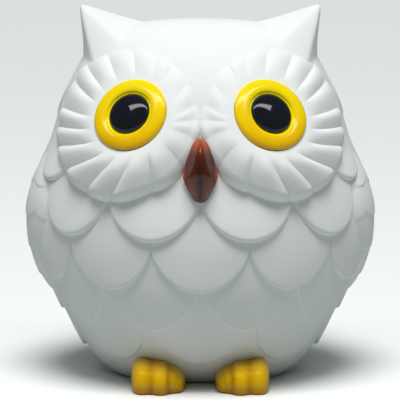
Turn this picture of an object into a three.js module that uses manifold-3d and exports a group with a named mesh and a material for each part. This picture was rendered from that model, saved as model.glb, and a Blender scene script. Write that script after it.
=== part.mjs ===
// A ceramic owl figurine: a hollow slip-cast body with a facial disc round each eye and rows of
// scale-like breast feathers, two applied wings and a tail, and glazed eyes, beak and feet that
// seat on the body. Millimetres, +Z up, the owl looks along -Y and its own left is +X.
import * as THREE from "three";
import { mergeVertices } from "three/addons/utils/BufferGeometryUtils.js";
import Module from "manifold-3d";

const RAD = Math.PI / 180;

// ---- Driving dimensions ----
// Body.
const HEAD_TOP = 157; // crown of the head above the base
const BODY_WIDTH = 145; // plain skin at the widest, without feathers or wings
const FRONT_DEPTH = 62.6; // plain skin in front of the axis at the deepest
const BACK_DEPTH = 63.2; // and behind it
const WALL = 4.5; // slip-cast wall
const VENT_RADIUS = 9; // drain and firing hole in the base
// Ears.
const EAR_PLACE = 0.957; // height of the corner that each is drawn from, as a share of the crown's
const EAR_RISE = 17.4; // from the corner of the head to the ear's tip
const EAR_ROOT_OUTER = 14; // from under the tip out to the notch at the side of the head
const EAR_ROOT_INNER = 16.5; // and in towards the crown
const EAR_ROOT_FRONT = 22; // and forwards, along the ear's front ridge
const EAR_ROOT_BACK = 20;
// Eyes.
const EYE_SPREAD = 28.5; // from the middle of the face to an eye
const EYE_DROP = 38.3; // below the crown
const EYE_TURN = 25; // degrees outwards
const EYE_LIFT = 30; // degrees upwards
const IRIS_RADIUS = 16.2;
const IRIS_THICKNESS = 3.2; // below the rim, inside the socket
const IRIS_CREST = 2.5; // the ring's crown above its rim
const PUPIL_RADIUS = 9;
const PUPIL_RISE = 4; // above the iris's rim
const PUPIL_SEAT = 1.2; // the pupil's pocket below the iris's rim
// Facial discs.
const DISC_RADIUS = 30.5;
const DISC_DROOP = 6.5; // how much further a disc reaches at the bottom
const DISC_DROOP_TURN = 18; // degrees that the lowest point lies outwards
const DISC_RELIEF = 2.2; // height over the skin at the sides
const DISC_OVERHANG = 3.4; // extra height at the bottom, over the breast
const DISC_LOBES = 18;
const DISC_LOBE_DEPTH = 0.9;
// Beak.
const BEAK_TOP_DROP = 46.2; // below the crown
const BEAK_LENGTH = 26.4;
const BEAK_WIDTH = 14.4;
const BEAK_RISE = 7; // the ridge in front of the face
const BEAK_SEAT = 2.6; // how far it is let into the face
// Breast and back feathers.
const FEATHER_LIP = 2.2; // height of a feather's tip over the skin
const FEATHER_STEP = 1.3; // how much of that it loses over the length that shows
const FEATHER_CROWN = 0.8; // swelling along a feather's middle
const FEATHER_ROOT = 1.5; // how deep a feather runs into the skin
// Wings and tail.
const WING_THICKNESS = 5.2;
const WING_TOP = 0.645; // as shares of the crown's height
const WING_TIP = 0.223;
const WING_MIDDLE = 96 * RAD; // angle round the body from the front
const WING_HALF = 33 * RAD;
const WING_SWEEP = 12 * RAD; // how much further back the tip lies
const TAIL_THICKNESS = 5;
const TAIL_TOP = 0.32; // as shares of the crown's height
const TAIL_TIP = 0.085;
const TAIL_HALF = 15 * RAD;
// Feet.
const FOOT_REACH = 25; // in front of the flat base
const FOOT_HEIGHT = 12.8;
const FOOT_ROOT = 8; // how far a foot runs back under the body
const FOOT_SPREAD = 20; // from the middle to the middle of a foot
const TOE_WIDTH = 9.4;
// Fits.
const CLEARANCE = 0.3;

const BODY_HALF = BODY_WIDTH / 2;

const WHITE = { color: 0xf2f4f2, roughness: 0.72, metalness: 0 };
const YELLOW = { color: 0xf6c313, roughness: 0.18, metalness: 0 };
const BLACK = { color: 0x0b0d12, roughness: 0.1, metalness: 0 };
const BROWN = { color: 0x7c2f14, roughness: 0.16, metalness: 0 };

const wasm = await Module();
wasm.setup();

// ---- Solids ----
function solidOf(geometry) {
  const bare = new THREE.BufferGeometry();
  bare.setAttribute("position", geometry.getAttribute("position"));
  bare.setIndex(geometry.index);
  const merged = mergeVertices(bare, 1e-4);
  const index = merged.index.array;
  const kept = [];
  for (let i = 0; i < index.length; i += 3) {
    const [a, b, c] = [index[i], index[i + 1], index[i + 2]];
    if (a !== b && b !== c && c !== a) {
      kept.push(a, b, c);
    }
  }
  return new wasm.Manifold(
    new wasm.Mesh({
      numProp: 3,
      vertProperties: merged.attributes.position.array,
      triVerts: new Uint32Array(kept),
    }),
  );
}

function geometryOf(solid) {
  const mesh = solid.getMesh();
  const geometry = new THREE.BufferGeometry();
  const places = new THREE.BufferAttribute(mesh.vertProperties, 3);
  geometry.setAttribute("position", places);
  geometry.setIndex(new THREE.BufferAttribute(mesh.triVerts, 1));
  const flat = geometry.toNonIndexed();
  flat.computeVertexNormals();
  return flat;
}

// A grid of points as a geometry. The angle across wraps round when `closed` is set.
function gridGeometry(across, along, closed, pointAt) {
  const places = [];
  const index = [];
  for (let j = 0; j <= along; j += 1) {
    for (let i = 0; i <= across; i += 1) {
      const wrapped = closed ? i % across : i;
      places.push(...pointAt(wrapped / across, j / along).toArray());
    }
  }
  const row = across + 1;
  for (let j = 0; j < along; j += 1) {
    for (let i = 0; i < across; i += 1) {
      const a = j * row + i;
      index.push(a, a + 1, a + row + 1, a, a + row + 1, a + row);
    }
  }
  const geometry = new THREE.BufferGeometry();
  geometry.setAttribute("position", new THREE.Float32BufferAttribute(places, 3));
  geometry.setIndex(index);
  return geometry;
}

// A closed body round an axis: pointAt(turn, rise), where the first and last rows are single points.
function roundSolid(columns, rows, pointAt) {
  return solidOf(gridGeometry(columns, rows, true, pointAt));
}

// A closed plate between an outer and an inner sheet over the same square.
function plateSolid(across, along, outerAt, innerAt) {
  const columns = 2 * (across + along);
  const rim = (turn) => {
    const step = Math.round(turn * columns) % columns;
    if (step < across) return [step / across, 0];
    if (step < across + along) return [1, (step - across) / along];
    if (step < 2 * across + along) return [1 - (step - across - along) / across, 1];
    return [0, 1 - (step - 2 * across - along) / along];
  };
  const sheets = [
    gridGeometry(across, along, false, outerAt),
    gridGeometry(across, along, false, (u, v) => innerAt(1 - u, v)),
    gridGeometry(columns, 1, true, (turn, side) => {
      const [u, v] = rim(turn);
      return side ? outerAt(u, v) : innerAt(u, v);
    }),
  ];
  const places = [];
  for (const sheet of sheets) {
    places.push(...sheet.toNonIndexed().getAttribute("position").array);
  }
  const geometry = new THREE.BufferGeometry();
  geometry.setAttribute("position", new THREE.Float32BufferAttribute(places, 3));
  return solidOf(geometry.setIndex([...Array(places.length / 3).keys()]));
}

// ---- The plain skin ----
// Height, half width, front depth and back depth, as shares of the sizes above.
const PROFILE = [
  [0.0, 0.537, 0.431, 0.443],
  [0.026, 0.604, 0.518, 0.538],
  [0.083, 0.702, 0.642, 0.672],
  [0.166, 0.8, 0.802, 0.823],
  [0.268, 0.91, 0.936, 0.941],
  [0.369, 0.985, 0.99, 0.99],
  [0.459, 1.0, 1.0, 1.0],
  [0.561, 0.968, 0.968, 0.981],
  [0.662, 0.891, 0.927, 0.934],
  [0.752, 0.844, 0.866, 0.878],
  [0.834, 0.775, 0.767, 0.791],
  [0.904, 0.69, 0.617, 0.649],
  [0.955, 0.579, 0.447, 0.49],
  [0.987, 0.386, 0.264, 0.3],
  [1.0, 0.0, 0.0, 0.0],
];

// Catmull-Rom through the profile's rows, mirrored past the crown so that it is level there.
function profileAt(share) {
  const last = PROFILE.length - 2;
  let i = 0;
  while (i < last && share > PROFILE[i + 1][0]) i += 1;
  const mirror = PROFILE[PROFILE.length - 2].map((value, k) => (k ? -value : value));
  const rows = [PROFILE[Math.max(i - 1, 0)], PROFILE[i], PROFILE[i + 1], PROFILE[i + 2] ?? mirror];
  const t = THREE.MathUtils.clamp((share - rows[1][0]) / (rows[2][0] - rows[1][0]), 0, 1);
  const span = rows[2][0] - rows[1][0];
  const slope = (k, before, after) => {
    const run = Math.abs(rows[after][0] - rows[before][0]) || span;
    return ((rows[after][k] - rows[before][k]) / run) * span;
  };
  return [1, 2, 3].map((k) => {
    const [from, to] = [rows[1][k], rows[2][k]];
    if (i === last) return from * Math.sqrt(1 - t ** 2.2);
    const [m0, m1] = [slope(k, 0, 2), slope(k, 1, 3)];
    const [t2, t3] = [t * t, t * t * t];
    const ends = (2 * t3 - 3 * t2 + 1) * from + (3 * t2 - 2 * t3) * to;
    return ends + (t3 - 2 * t2 + t) * m0 + (t3 - t2) * m1;
  });
}

// A point of the skin at a height and an angle from the front, before the ears are drawn out.
function roundedPoint(z, around) {
  const [wide, front, back] = profileAt(z / HEAD_TOP);
  const depth = Math.cos(around) > 0 ? front * FRONT_DEPTH : back * BACK_DEPTH;
  const place = [wide * BODY_HALF * Math.sin(around), -depth * Math.cos(around), z];
  return new THREE.Vector3(...place);
}

// The ear is a three-sided horn, drawn out of the head's corner as a pyramid with hollow flanks.
const EAR_FOOT = roundedPoint(EAR_PLACE * HEAD_TOP, Math.PI / 2);
const EAR_LEAN = 39.8 * RAD; // outwards from upright
const EAR_UP = new THREE.Vector3(Math.sin(EAR_LEAN), 0, Math.cos(EAR_LEAN));
const EAR_IN = new THREE.Vector3(-EAR_UP.z, 0, EAR_UP.x);

function earPull(point) {
  const side = point.x < 0 ? -1 : 1;
  const from = new THREE.Vector3(Math.abs(point.x), point.y, point.z).sub(EAR_FOOT);
  const inward = from.dot(EAR_IN);
  const forward = -from.y;
  const faces = [
    1 + inward / EAR_ROOT_OUTER - 0.18 * (forward / EAR_ROOT_FRONT),
    1 - inward / EAR_ROOT_INNER - 0.72 * Math.max(forward / EAR_ROOT_FRONT, 0),
    1 - forward / EAR_ROOT_FRONT,
    1 + forward / EAR_ROOT_BACK,
  ];
  const share = Math.max(0, Math.min(...faces));
  const pull = EAR_UP.clone().multiplyScalar(EAR_RISE * share ** 1.25);
  pull.x *= side;
  return pull;
}

function skinPoint(z, around) {
  const point = roundedPoint(z, around);
  return z > 0.8 * HEAD_TOP ? point.add(earPull(point)) : point;
}

function skinNormal(z, around) {
  const step = 0.01;
  const low = roundedPoint(z - step, around);
  const rise = roundedPoint(z + step, around).sub(low);
  const across = roundedPoint(z, around + step).sub(roundedPoint(z, around - step));
  return across.cross(rise).normalize();
}

// A point that stands `out` over the skin.
function overSkin(z, around, out) {
  return roundedPoint(z, around).addScaledVector(skinNormal(z, around), out);
}

// The angle round the body of a place seen straight from the front, eased past the side.
function aroundOf(x, z) {
  const share = x / (profileAt(z / HEAD_TOP)[0] * BODY_HALF);
  const turn = 0.9;
  const past = Math.max(0, Math.abs(share) - turn) / Math.sqrt(1 - turn * turn);
  return Math.sign(share) * (Math.asin(Math.min(Math.abs(share), turn)) + past);
}

// Heights of the skin's rings, as shares of the crown's. One passes through the ears' corners.
const RINGS = [0, 0.03, 0.075, 0.13, 0.19, 0.26, 0.33, 0.41, 0.49, 0.57, 0.65, 0.73, 0.79, 0.84]
  .concat([0.88, 0.91, 0.93, EAR_PLACE, 0.965, 0.978, 0.988, 0.995, 1]);

const SKIN_COLUMNS = 48; // a multiple of four, so that columns run through the ears
const HOLLOW_COLUMNS = 24;

// The body's skin, its hollow at an inset, or the room that it takes up at an inset below zero.
// Rows run from the middle of the base to the crown.
function skinSolid(columns, inset) {
  const floor = inset * 1.2;
  return roundSolid(columns, RINGS.length, (turn, rise) => {
    const around = turn * 2 * Math.PI;
    const row = Math.round(rise * RINGS.length) - 1;
    if (row < 0) {
      return new THREE.Vector3(0, 0, floor);
    }
    const z = floor + (HEAD_TOP - floor - inset) * RINGS[row];
    if (!inset) {
      return skinPoint(z, around);
    }
    const round = roundedPoint(HEAD_TOP * RINGS[row], around);
    const reach = Math.max(Math.hypot(round.x, round.y), Math.abs(inset));
    const pull = 1 - inset / reach;
    return new THREE.Vector3(round.x * pull, round.y * pull, z);
  });
}

// ---- Feathers ----
// Each row: tip and joint heights as shares of the crown's height, how many go round the body,
// and where the first one is centred, as a share of the spacing.
const FEATHER_ROWS = [
  { tip: 0.834, joint: 0.917, count: 9, phase: 0, backOnly: true },
  { tip: 0.697, joint: 0.793, count: 10, phase: 0, backOnly: true },
  { tip: 0.564, joint: 0.662, count: 11, phase: 0, backOnly: false },
  { tip: 0.43, joint: 0.53, count: 11, phase: 0.5, backOnly: false },
  { tip: 0.298, joint: 0.397, count: 11, phase: 0, backOnly: false },
  { tip: 0.183, joint: 0.303, count: 10, phase: 0.5, backOnly: false },
  { tip: 0.078, joint: 0.188, count: 8, phase: 0, backOnly: false },
];
const FEATHER_ARC = 1.06; // radius of a tip's arc over half the feather's width

// 0 at a feather's tip and 1 at its joints, along a circular arc.
function arcShare(across) {
  const rise = (x) => FEATHER_ARC - Math.sqrt(FEATHER_ARC * FEATHER_ARC - x * x);
  return rise(Math.min(Math.abs(across), 1)) / rise(1);
}

function featherSolid(row, above, middle, half) {
  const tip = row.tip * HEAD_TOP;
  const joint = row.joint * HEAD_TOP;
  const top = Math.min((above ? above.joint + 0.02 : row.joint + 0.1) * HEAD_TOP, 0.975 * HEAD_TOP);
  const place = (u, v) => {
    const across = 2 * u - 1;
    const low = tip + (joint - tip) * arcShare(across);
    return { across, z: low + (top - low) * v, around: middle + 1.02 * half * across, rise: v };
  };
  const outer = (u, v) => {
    const { across, z, around, rise } = place(u, v);
    const crown = FEATHER_CROWN * (1 - across * across) * (1 - rise);
    return overSkin(z, around, FEATHER_LIP - FEATHER_STEP * 1.7 * rise - FEATHER_CROWN + crown);
  };
  const inner = (u, v) => {
    const { z, around } = place(u, v);
    return overSkin(z, around, -FEATHER_ROOT);
  };
  return plateSolid(5, 2, outer, inner);
}

function underWing(row, middle, half) {
  const side = Math.abs(middle);
  const beside = row.tip > WING_TIP && row.joint < WING_TOP;
  return beside && side > WING_MIDDLE - WING_HALF + half && side < WING_MIDDLE + WING_HALF;
}

function featherCoat() {
  const coat = [];
  FEATHER_ROWS.forEach((row, i) => {
    const half = Math.PI / row.count;
    for (let k = 0; k < row.count; k += 1) {
      const middle = 2 * half * (k + row.phase);
      const turned = Math.atan2(Math.sin(middle), Math.cos(middle));
      const hidden = row.backOnly ? Math.abs(turned) < 1.9 : underWing(row, turned, half);
      if (!hidden) {
        coat.push(featherSolid(row, FEATHER_ROWS[i - 1], turned, half));
      }
    }
  });
  return coat;
}

// ---- Facial discs ----
const EYE_HEIGHT = HEAD_TOP - EYE_DROP;

function discRadius(turn) {
  const droop = Math.max(0, Math.cos(turn + (90 - DISC_DROOP_TURN) * RAD));
  return DISC_RADIUS + DISC_DROOP * droop ** 1.5;
}

function discHeight(turn, share) {
  const low = Math.max(0, Math.cos(turn + (90 - DISC_DROOP_TURN) * RAD));
  const high = Math.max(0, Math.sin(turn));
  const edge = DISC_RELIEF + DISC_OVERHANG * low - DISC_RELIEF * 0.8 * high;
  const lobe = Math.abs(Math.sin((turn * DISC_LOBES) / 2));
  const swell = DISC_LOBE_DEPTH * (lobe - 0.6) * Math.min(1, share * 1.4);
  return 0.8 * (1 - share) + edge * share + swell;
}

function discSolid(side) {
  const rows = 7;
  return roundSolid(2 * DISC_LOBES, rows, (turned, rise) => {
    const turn = side * turned * 2 * Math.PI;
    const row = Math.round(rise * rows);
    const share = row < 2 ? row / 2 : (rows - row) / (rows - 2);
    const reach = discRadius(turn) * share;
    const x = side * (EYE_SPREAD + reach * Math.cos(turn));
    const z = Math.min(EYE_HEIGHT + reach * Math.sin(turn), 0.975 * HEAD_TOP);
    const out = row < 2 ? -2 : discHeight(turn, share);
    return overSkin(z, aroundOf(x, z), out);
  });
}

// ---- Eyes ----
const EYE_AXIS = new THREE.Vector3(
  Math.cos(EYE_LIFT * RAD) * Math.sin(EYE_TURN * RAD),
  -Math.cos(EYE_LIFT * RAD) * Math.cos(EYE_TURN * RAD),
  Math.sin(EYE_LIFT * RAD),
);
const EYE_COLUMNS = 32;
const EYE_STAND = 1.6; // the iris's rim over the skin at the eye's middle

// Turns a solid made about +Z onto an eye's axis.
function onEye(geometry, side) {
  const axis = new THREE.Vector3(side * EYE_AXIS.x, EYE_AXIS.y, EYE_AXIS.z);
  const turn = new THREE.Quaternion();
  turn.setFromUnitVectors(new THREE.Vector3(0, 0, 1), axis);
  const centre = overSkin(EYE_HEIGHT, aroundOf(side * EYE_SPREAD, EYE_HEIGHT), EYE_STAND);
  const place = new THREE.Matrix4().compose(centre, turn, new THREE.Vector3(1, 1, 1));
  return geometry.applyMatrix4(place);
}

// A turned body about +Z from [radius, height] points that start and end on the axis.
function turned(points, columns) {
  const lathe = new THREE.LatheGeometry(
    points.map(([radius, height]) => new THREE.Vector2(radius, height)),
    columns,
  );
  return lathe.rotateX(Math.PI / 2);
}

function irisGeometry(side) {
  const crown = (IRIS_RADIUS + PUPIL_RADIUS + CLEARANCE) / 2;
  const half = (IRIS_RADIUS - PUPIL_RADIUS - CLEARANCE) / 2;
  const points = [
    [0, -IRIS_THICKNESS],
    [IRIS_RADIUS - 0.8, -IRIS_THICKNESS],
    [IRIS_RADIUS, -IRIS_THICKNESS + 0.8],
  ];
  const steps = 7;
  for (let i = 0; i <= steps; i += 1) {
    const turn = (i / steps) * Math.PI;
    const height = IRIS_CREST * Math.sin(turn) + 0.9 * (i / steps);
    points.push([crown + half * Math.cos(turn), height]);
  }
  points.push([PUPIL_RADIUS + CLEARANCE, -PUPIL_SEAT], [0, -PUPIL_SEAT]);
  return onEye(turned(points, EYE_COLUMNS), side);
}

function pupilGeometry(side) {
  const floor = CLEARANCE - PUPIL_SEAT;
  const shoulder = 1.4;
  const points = [
    [0, floor],
    [PUPIL_RADIUS, floor],
  ];
  const steps = 6;
  for (let i = 0; i < steps; i += 1) {
    const turn = ((i / steps) * Math.PI) / 2;
    const height = shoulder + (PUPIL_RISE - shoulder) * Math.sin(turn);
    points.push([PUPIL_RADIUS * Math.cos(turn), height]);
  }
  points.push([0, PUPIL_RISE]);
  return onEye(turned(points, EYE_COLUMNS), side);
}

function eyeSocket(side) {
  const radius = IRIS_RADIUS + CLEARANCE;
  const floor = -IRIS_THICKNESS - CLEARANCE;
  const points = [
    [0, floor],
    [radius, floor],
    [radius, 30],
    [0, 30],
  ];
  return solidOf(onEye(turned(points, EYE_COLUMNS), side));
}

// ---- Beak ----
// A kite-shaped spindle with a ridge down its middle, let into the face.
const BEAK_WIDEST = 0.6; // share of the length down from its top
const FACE_RELIEF = 3; // the discs' height over the skin where the beak sits

function beakSolid(grow) {
  const top = HEAD_TOP - BEAK_TOP_DROP + grow;
  const length = BEAK_LENGTH + 2 * grow;
  return roundSolid(20, 14, (turned, rise) => {
    const turn = turned * 2 * Math.PI;
    const z = top - length * (1 - rise);
    const down = 1 - rise;
    const near = down < BEAK_WIDEST ? down / BEAK_WIDEST : (1 - down) / (1 - BEAK_WIDEST);
    const swell = Math.sin((Math.PI / 2) * near) ** (down < BEAK_WIDEST ? 1.0 : 0.62);
    const half = (BEAK_WIDTH / 2 + grow) * swell;
    const face = roundedPoint(z, 0).y - FACE_RELIEF;
    const lift = rise === 0 || rise === 1 ? 0 : 1;
    const ridge = (BEAK_RISE + grow) * swell ** 1.15;
    const seat = (BEAK_SEAT + FACE_RELIEF + grow) * lift;
    const front = Math.cos(turn) > 0;
    const out = front ? ridge * (1 - Math.abs(Math.sin(turn)) ** 1.3) : seat * Math.cos(turn);
    return new THREE.Vector3(half * Math.sin(turn), face - out, z);
  });
}

// ---- Feet ----
// Each foot is three rounded toes, flat underneath; the inner toe is the shortest.
const TOES = [
  { shift: 0.5 * TOE_WIDTH, reach: 1, wide: 1, high: 1 },
  { shift: -0.38 * TOE_WIDTH, reach: 1.02, wide: 1, high: 0.98 },
  { shift: -1.02 * TOE_WIDTH, reach: 0.76, wide: 0.82, high: 0.8 },
];

function footSolid(side, keepOut) {
  const heel = roundedPoint(0, 0).y + FOOT_ROOT;
  const toes = TOES.map((toe) => {
    const length = (FOOT_ROOT + FOOT_REACH) * toe.reach;
    const ball = new THREE.SphereGeometry(1, 16, 10);
    ball.scale((TOE_WIDTH / 2) * toe.wide * 1.12, length / 2, FOOT_HEIGHT * toe.high * 0.62);
    const x = side * (FOOT_SPREAD + toe.shift);
    return solidOf(ball.translate(x, heel - length / 2, FOOT_HEIGHT * toe.high * 0.38));
  });
  const ground = new THREE.BoxGeometry(200, 200, 40).translate(0, 0, -20);
  return wasm.Manifold.union(toes).subtract(solidOf(ground)).subtract(keepOut);
}

// ---- Wings and tail ----
// Both are applied reliefs, let a little way into the skin in a pocket of their own outline.
const RELIEF_EDGE = 0.9; // their height over the skin at the rim
const POCKET_DEPTH = 0.8;
const POCKET_HEIGHT = 9; // clears the feathers over the pocket

// A wing is a long leaf on the side of the body, with its tip down and towards the back.
function wingPlate(side, inner, grow) {
  const top = WING_TOP * HEAD_TOP + grow;
  const tip = WING_TIP * HEAD_TOP - grow;
  const spread = grow / BODY_HALF;
  const place = (u, v) => {
    const z = tip + (top - tip) * v;
    const middle = WING_MIDDLE + WING_SWEEP * (0.6 - v);
    const half = (WING_HALF + spread) * Math.sin(Math.PI * (0.92 - 0.8 * v)) ** 0.75;
    return { z, around: side * (middle + half * (side > 0 ? 2 * u - 1 : 1 - 2 * u)) };
  };
  const outerAt = (u, v) => {
    const { z, around } = place(u, v);
    const round = Math.sqrt(Math.max(0, 1 - (2 * u - 1) ** 4)) * Math.sqrt(1 - (2 * v - 1) ** 6);
    const out = RELIEF_EDGE + (WING_THICKNESS - RELIEF_EDGE) * round;
    return overSkin(z, around, grow ? POCKET_HEIGHT : out);
  };
  const innerAt = (u, v) => {
    const { z, around } = place(u, v);
    return overSkin(z, around, inner);
  };
  return plateSolid(8, 10, outerAt, innerAt);
}

function tailPlate(inner, grow) {
  const top = TAIL_TOP * HEAD_TOP + grow;
  const tip = TAIL_TIP * HEAD_TOP - grow;
  const place = (u, v) => {
    const half = TAIL_HALF + grow / BACK_DEPTH;
    const narrow = Math.sqrt(Math.max(0, 1 - (0.9 * (1 - v)) ** 4));
    return { z: tip + (top - tip) * v, around: Math.PI + half * narrow * (2 * u - 1) };
  };
  const outerAt = (u, v) => {
    const { z, around } = place(u, v);
    const round = (1 - 0.7 * (2 * u - 1) ** 4) * (1 - 0.7 * v);
    const out = RELIEF_EDGE + (TAIL_THICKNESS - RELIEF_EDGE) * round;
    return overSkin(z, around, grow ? POCKET_HEIGHT : out);
  };
  const innerAt = (u, v) => {
    const { z, around } = place(u, v);
    return overSkin(z, around, inner);
  };
  return plateSolid(6, 6, outerAt, innerAt);
}

// ---- The body shell ----
function bodyShell() {
  const outside = [skinSolid(SKIN_COLUMNS, 0), discSolid(1), discSolid(-1), ...featherCoat()];
  const vent = new THREE.CylinderGeometry(VENT_RADIUS, VENT_RADIUS, 4 * WALL, 32);
  const cuts = [
    skinSolid(HOLLOW_COLUMNS, WALL),
    solidOf(vent.rotateX(Math.PI / 2)),
    solidOf(new THREE.BoxGeometry(300, 300, 40).translate(0, 0, -20)),
    eyeSocket(1),
    eyeSocket(-1),
    beakSolid(CLEARANCE),
    wingPlate(1, -POCKET_DEPTH, CLEARANCE),
    wingPlate(-1, -POCKET_DEPTH, CLEARANCE),
    tailPlate(-POCKET_DEPTH, CLEARANCE),
  ];
  return wasm.Manifold.union(outside).subtract(wasm.Manifold.union(cuts));
}

// ---- Assembly ----
const group = new THREE.Group();

function add(name, geometry, finish) {
  const mesh = new THREE.Mesh(geometry, new THREE.MeshStandardMaterial(finish));
  mesh.name = name;
  group.add(mesh);
}

const body = bodyShell();
const roomOfBody = skinSolid(SKIN_COLUMNS, -CLEARANCE);
add("body_shell", geometryOf(body), WHITE);
for (const [name, side] of [["left", 1], ["right", -1]]) {
  add(`${name}_wing`, geometryOf(wingPlate(side, CLEARANCE - POCKET_DEPTH, 0)), WHITE);
  add(`${name}_iris`, geometryOf(solidOf(irisGeometry(side))), YELLOW);
  add(`${name}_pupil`, geometryOf(solidOf(pupilGeometry(side))), BLACK);
  add(`${name}_foot`, geometryOf(footSolid(side, roomOfBody)), YELLOW);
}
add("beak", geometryOf(beakSolid(0)), BROWN);
add("tail", geometryOf(tailPlate(CLEARANCE - POCKET_DEPTH, 0)), WHITE);

// The origin is under the middle of the whole figure's outline, on the surface that it stands on.
const outline = new THREE.Box3().setFromObject(group);
group.position.set(0, -(outline.min.y + outline.max.y) / 2, 0);

export default group;
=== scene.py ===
"""A white ceramic owl figurine with glazed eyes, beak and feet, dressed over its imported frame.

The owl looks along -Y and its own left is +X. Shapes are worked out in millimetres in the body's
own frame, whose axis is upright through the middle of the base, and stored in metres in the
frame's coordinates. One class makes and dresses each sub-assembly.
"""

import logging
import math
from collections.abc import Callable, Sequence
from dataclasses import dataclass, field
from enum import Enum

import bmesh
import bpy
import numpy as np
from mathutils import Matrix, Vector


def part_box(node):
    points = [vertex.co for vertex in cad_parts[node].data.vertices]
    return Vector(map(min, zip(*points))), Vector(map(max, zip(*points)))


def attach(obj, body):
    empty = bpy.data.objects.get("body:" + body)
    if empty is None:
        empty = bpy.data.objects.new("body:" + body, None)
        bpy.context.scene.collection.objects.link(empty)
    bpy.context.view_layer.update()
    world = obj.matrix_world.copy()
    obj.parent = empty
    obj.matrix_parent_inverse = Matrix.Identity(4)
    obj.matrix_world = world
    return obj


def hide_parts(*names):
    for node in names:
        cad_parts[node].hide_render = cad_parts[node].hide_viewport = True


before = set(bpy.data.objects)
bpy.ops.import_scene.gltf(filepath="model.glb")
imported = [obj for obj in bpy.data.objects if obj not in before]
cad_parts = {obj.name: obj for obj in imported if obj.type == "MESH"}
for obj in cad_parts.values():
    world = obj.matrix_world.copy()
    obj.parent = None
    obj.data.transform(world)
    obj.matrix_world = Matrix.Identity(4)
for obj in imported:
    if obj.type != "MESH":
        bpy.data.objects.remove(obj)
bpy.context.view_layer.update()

LOG = logging.getLogger("owl")
MM = 0.001
BODY = "root"
AXIS_SHARE = 0.4963  # where the upright axis stands in the body shell's depth, from its front


class Side(Enum):
    """One side of the owl, with the sign of its X."""

    LEFT = 1
    RIGHT = -1

    @property
    def word(self) -> str:
        """The side's name as pieces and nodes use it."""
        return self.name.lower()


def axis_depth() -> float:
    """The Y of the body's upright axis in the frame, in metres."""
    low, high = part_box("body_shell")
    return low[1] + AXIS_SHARE * (high[1] - low[1])


AXIS_Y = axis_depth()


# ---------------------------------------------------------------- numbers and curves


def smooth(low: float, high: float, value: np.ndarray) -> np.ndarray:
    """An eased step.

    Args:
        low: where the step starts.
        high: where it ends.
        value: the values to ease.

    Returns:
        0 below low, 1 above high, and a smooth rise between them.
    """
    share = np.clip((value - low) / (high - low), 0.0, 1.0)
    return share * share * (3.0 - 2.0 * share)


def soft_least(values: Sequence[np.ndarray], softness: float) -> np.ndarray:
    """The least of several fields, rounded where two of them cross.

    Args:
        values: the fields.
        softness: how wide the rounding is, in the fields' own unit.

    Returns:
        The rounded least value.
    """
    stack = np.stack(values)
    least = stack.min(axis=0)
    return least - softness * np.log(np.exp((least - stack) / softness).sum(axis=0))


def round_table(pairs: Sequence[tuple[float, float]], angles: np.ndarray) -> np.ndarray:
    """Values given at a few angles, drawn through by a smooth closed curve.

    Args:
        pairs: (angle in degrees, value), in rising order within one turn.
        angles: where the curve is read, in degrees.

    Returns:
        The curve's value at each angle.
    """
    known = np.array(pairs, float)
    turns = [known + [360.0 * k, 0.0] for k in (-1, 0, 1)]
    x, y = np.concatenate(turns).T
    slope = np.gradient(y, x)
    at = np.mod(angles, 360.0)
    i = np.clip(np.searchsorted(x, at) - 1, 0, len(x) - 2)
    span = x[i + 1] - x[i]
    t = (at - x[i]) / span
    rise = (2 * t**3 - 3 * t**2 + 1) * y[i] + (3 * t**2 - 2 * t**3) * y[i + 1]
    return rise + span * ((t**3 - 2 * t**2 + t) * slope[i] + (t**3 - t**2) * slope[i + 1])


# ---------------------------------------------------------------- meshes


def grid_quads(rows: int, columns: int, wrap: bool) -> np.ndarray:
    """Faces of a grid of points.

    Args:
        rows: rows of points.
        columns: points in a row.
        wrap: whether the last column joins the first.

    Returns:
        One row of four point numbers for each face.
    """
    across = columns if wrap else columns - 1
    i, j = np.meshgrid(np.arange(across), np.arange(rows - 1))
    a = j * columns + i
    b = j * columns + (i + 1) % columns
    return np.stack([a, b, b + columns, a + columns], axis=-1).reshape(-1, 4)


def piece_from(name: str, points: np.ndarray, quads: np.ndarray, mirrored: bool = False) -> bpy.types.Object:
    """A smooth-shaded object from points in the body's millimetres.

    Args:
        name: the piece's name.
        points: an array that ends in three coordinates.
        quads: faces as four point numbers; a repeated number makes a triangle.
        mirrored: whether X is to be turned round, with the faces turned back.

    Returns:
        The object, with its place in its mesh.
    """
    places = points.reshape(-1, 3) * MM
    if mirrored:
        places = places * [-1.0, 1.0, 1.0]
        quads = quads[:, ::-1]
    places = places + [0.0, AXIS_Y, 0.0]
    mesh = bpy.data.meshes.new(name)
    mesh.from_pydata(places.tolist(), [], quads.tolist())
    mesh.validate()
    piece = bpy.data.objects.new(name, mesh)
    bpy.context.scene.collection.objects.link(piece)
    tidy_mesh(mesh)
    return piece


def tidy_mesh(mesh: bpy.types.Mesh, merge: float = 1e-6) -> None:
    """Merges points that coincide, drops faces that vanish and shades the mesh smooth.

    Args:
        mesh: the mesh.
        merge: how close two points are when they become one, in metres.
    """
    work = bmesh.new()
    work.from_mesh(mesh)
    bmesh.ops.remove_doubles(work, verts=work.verts, dist=merge)
    bmesh.ops.dissolve_degenerate(work, edges=work.edges, dist=merge)
    for face in work.faces:
        face.smooth = True
    work.to_mesh(mesh)
    work.free()


def store(piece: bpy.types.Object, name: str, read: Callable[[np.ndarray], np.ndarray]) -> None:
    """Writes a value for each point of a piece, for its material to read.

    Args:
        piece: the piece.
        name: the attribute's name.
        read: takes the points in the body's millimetres and gives one value each.
    """
    mesh = piece.data
    places = np.empty(len(mesh.vertices) * 3)
    mesh.vertices.foreach_get("co", places)
    points = (places.reshape(-1, 3) - [0.0, AXIS_Y, 0.0]) / MM
    layer = mesh.attributes.new(name, "FLOAT", "POINT")
    layer.data.foreach_set("value", np.ascontiguousarray(read(points), dtype=np.float32))


# ---------------------------------------------------------------- the plain skin


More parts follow.
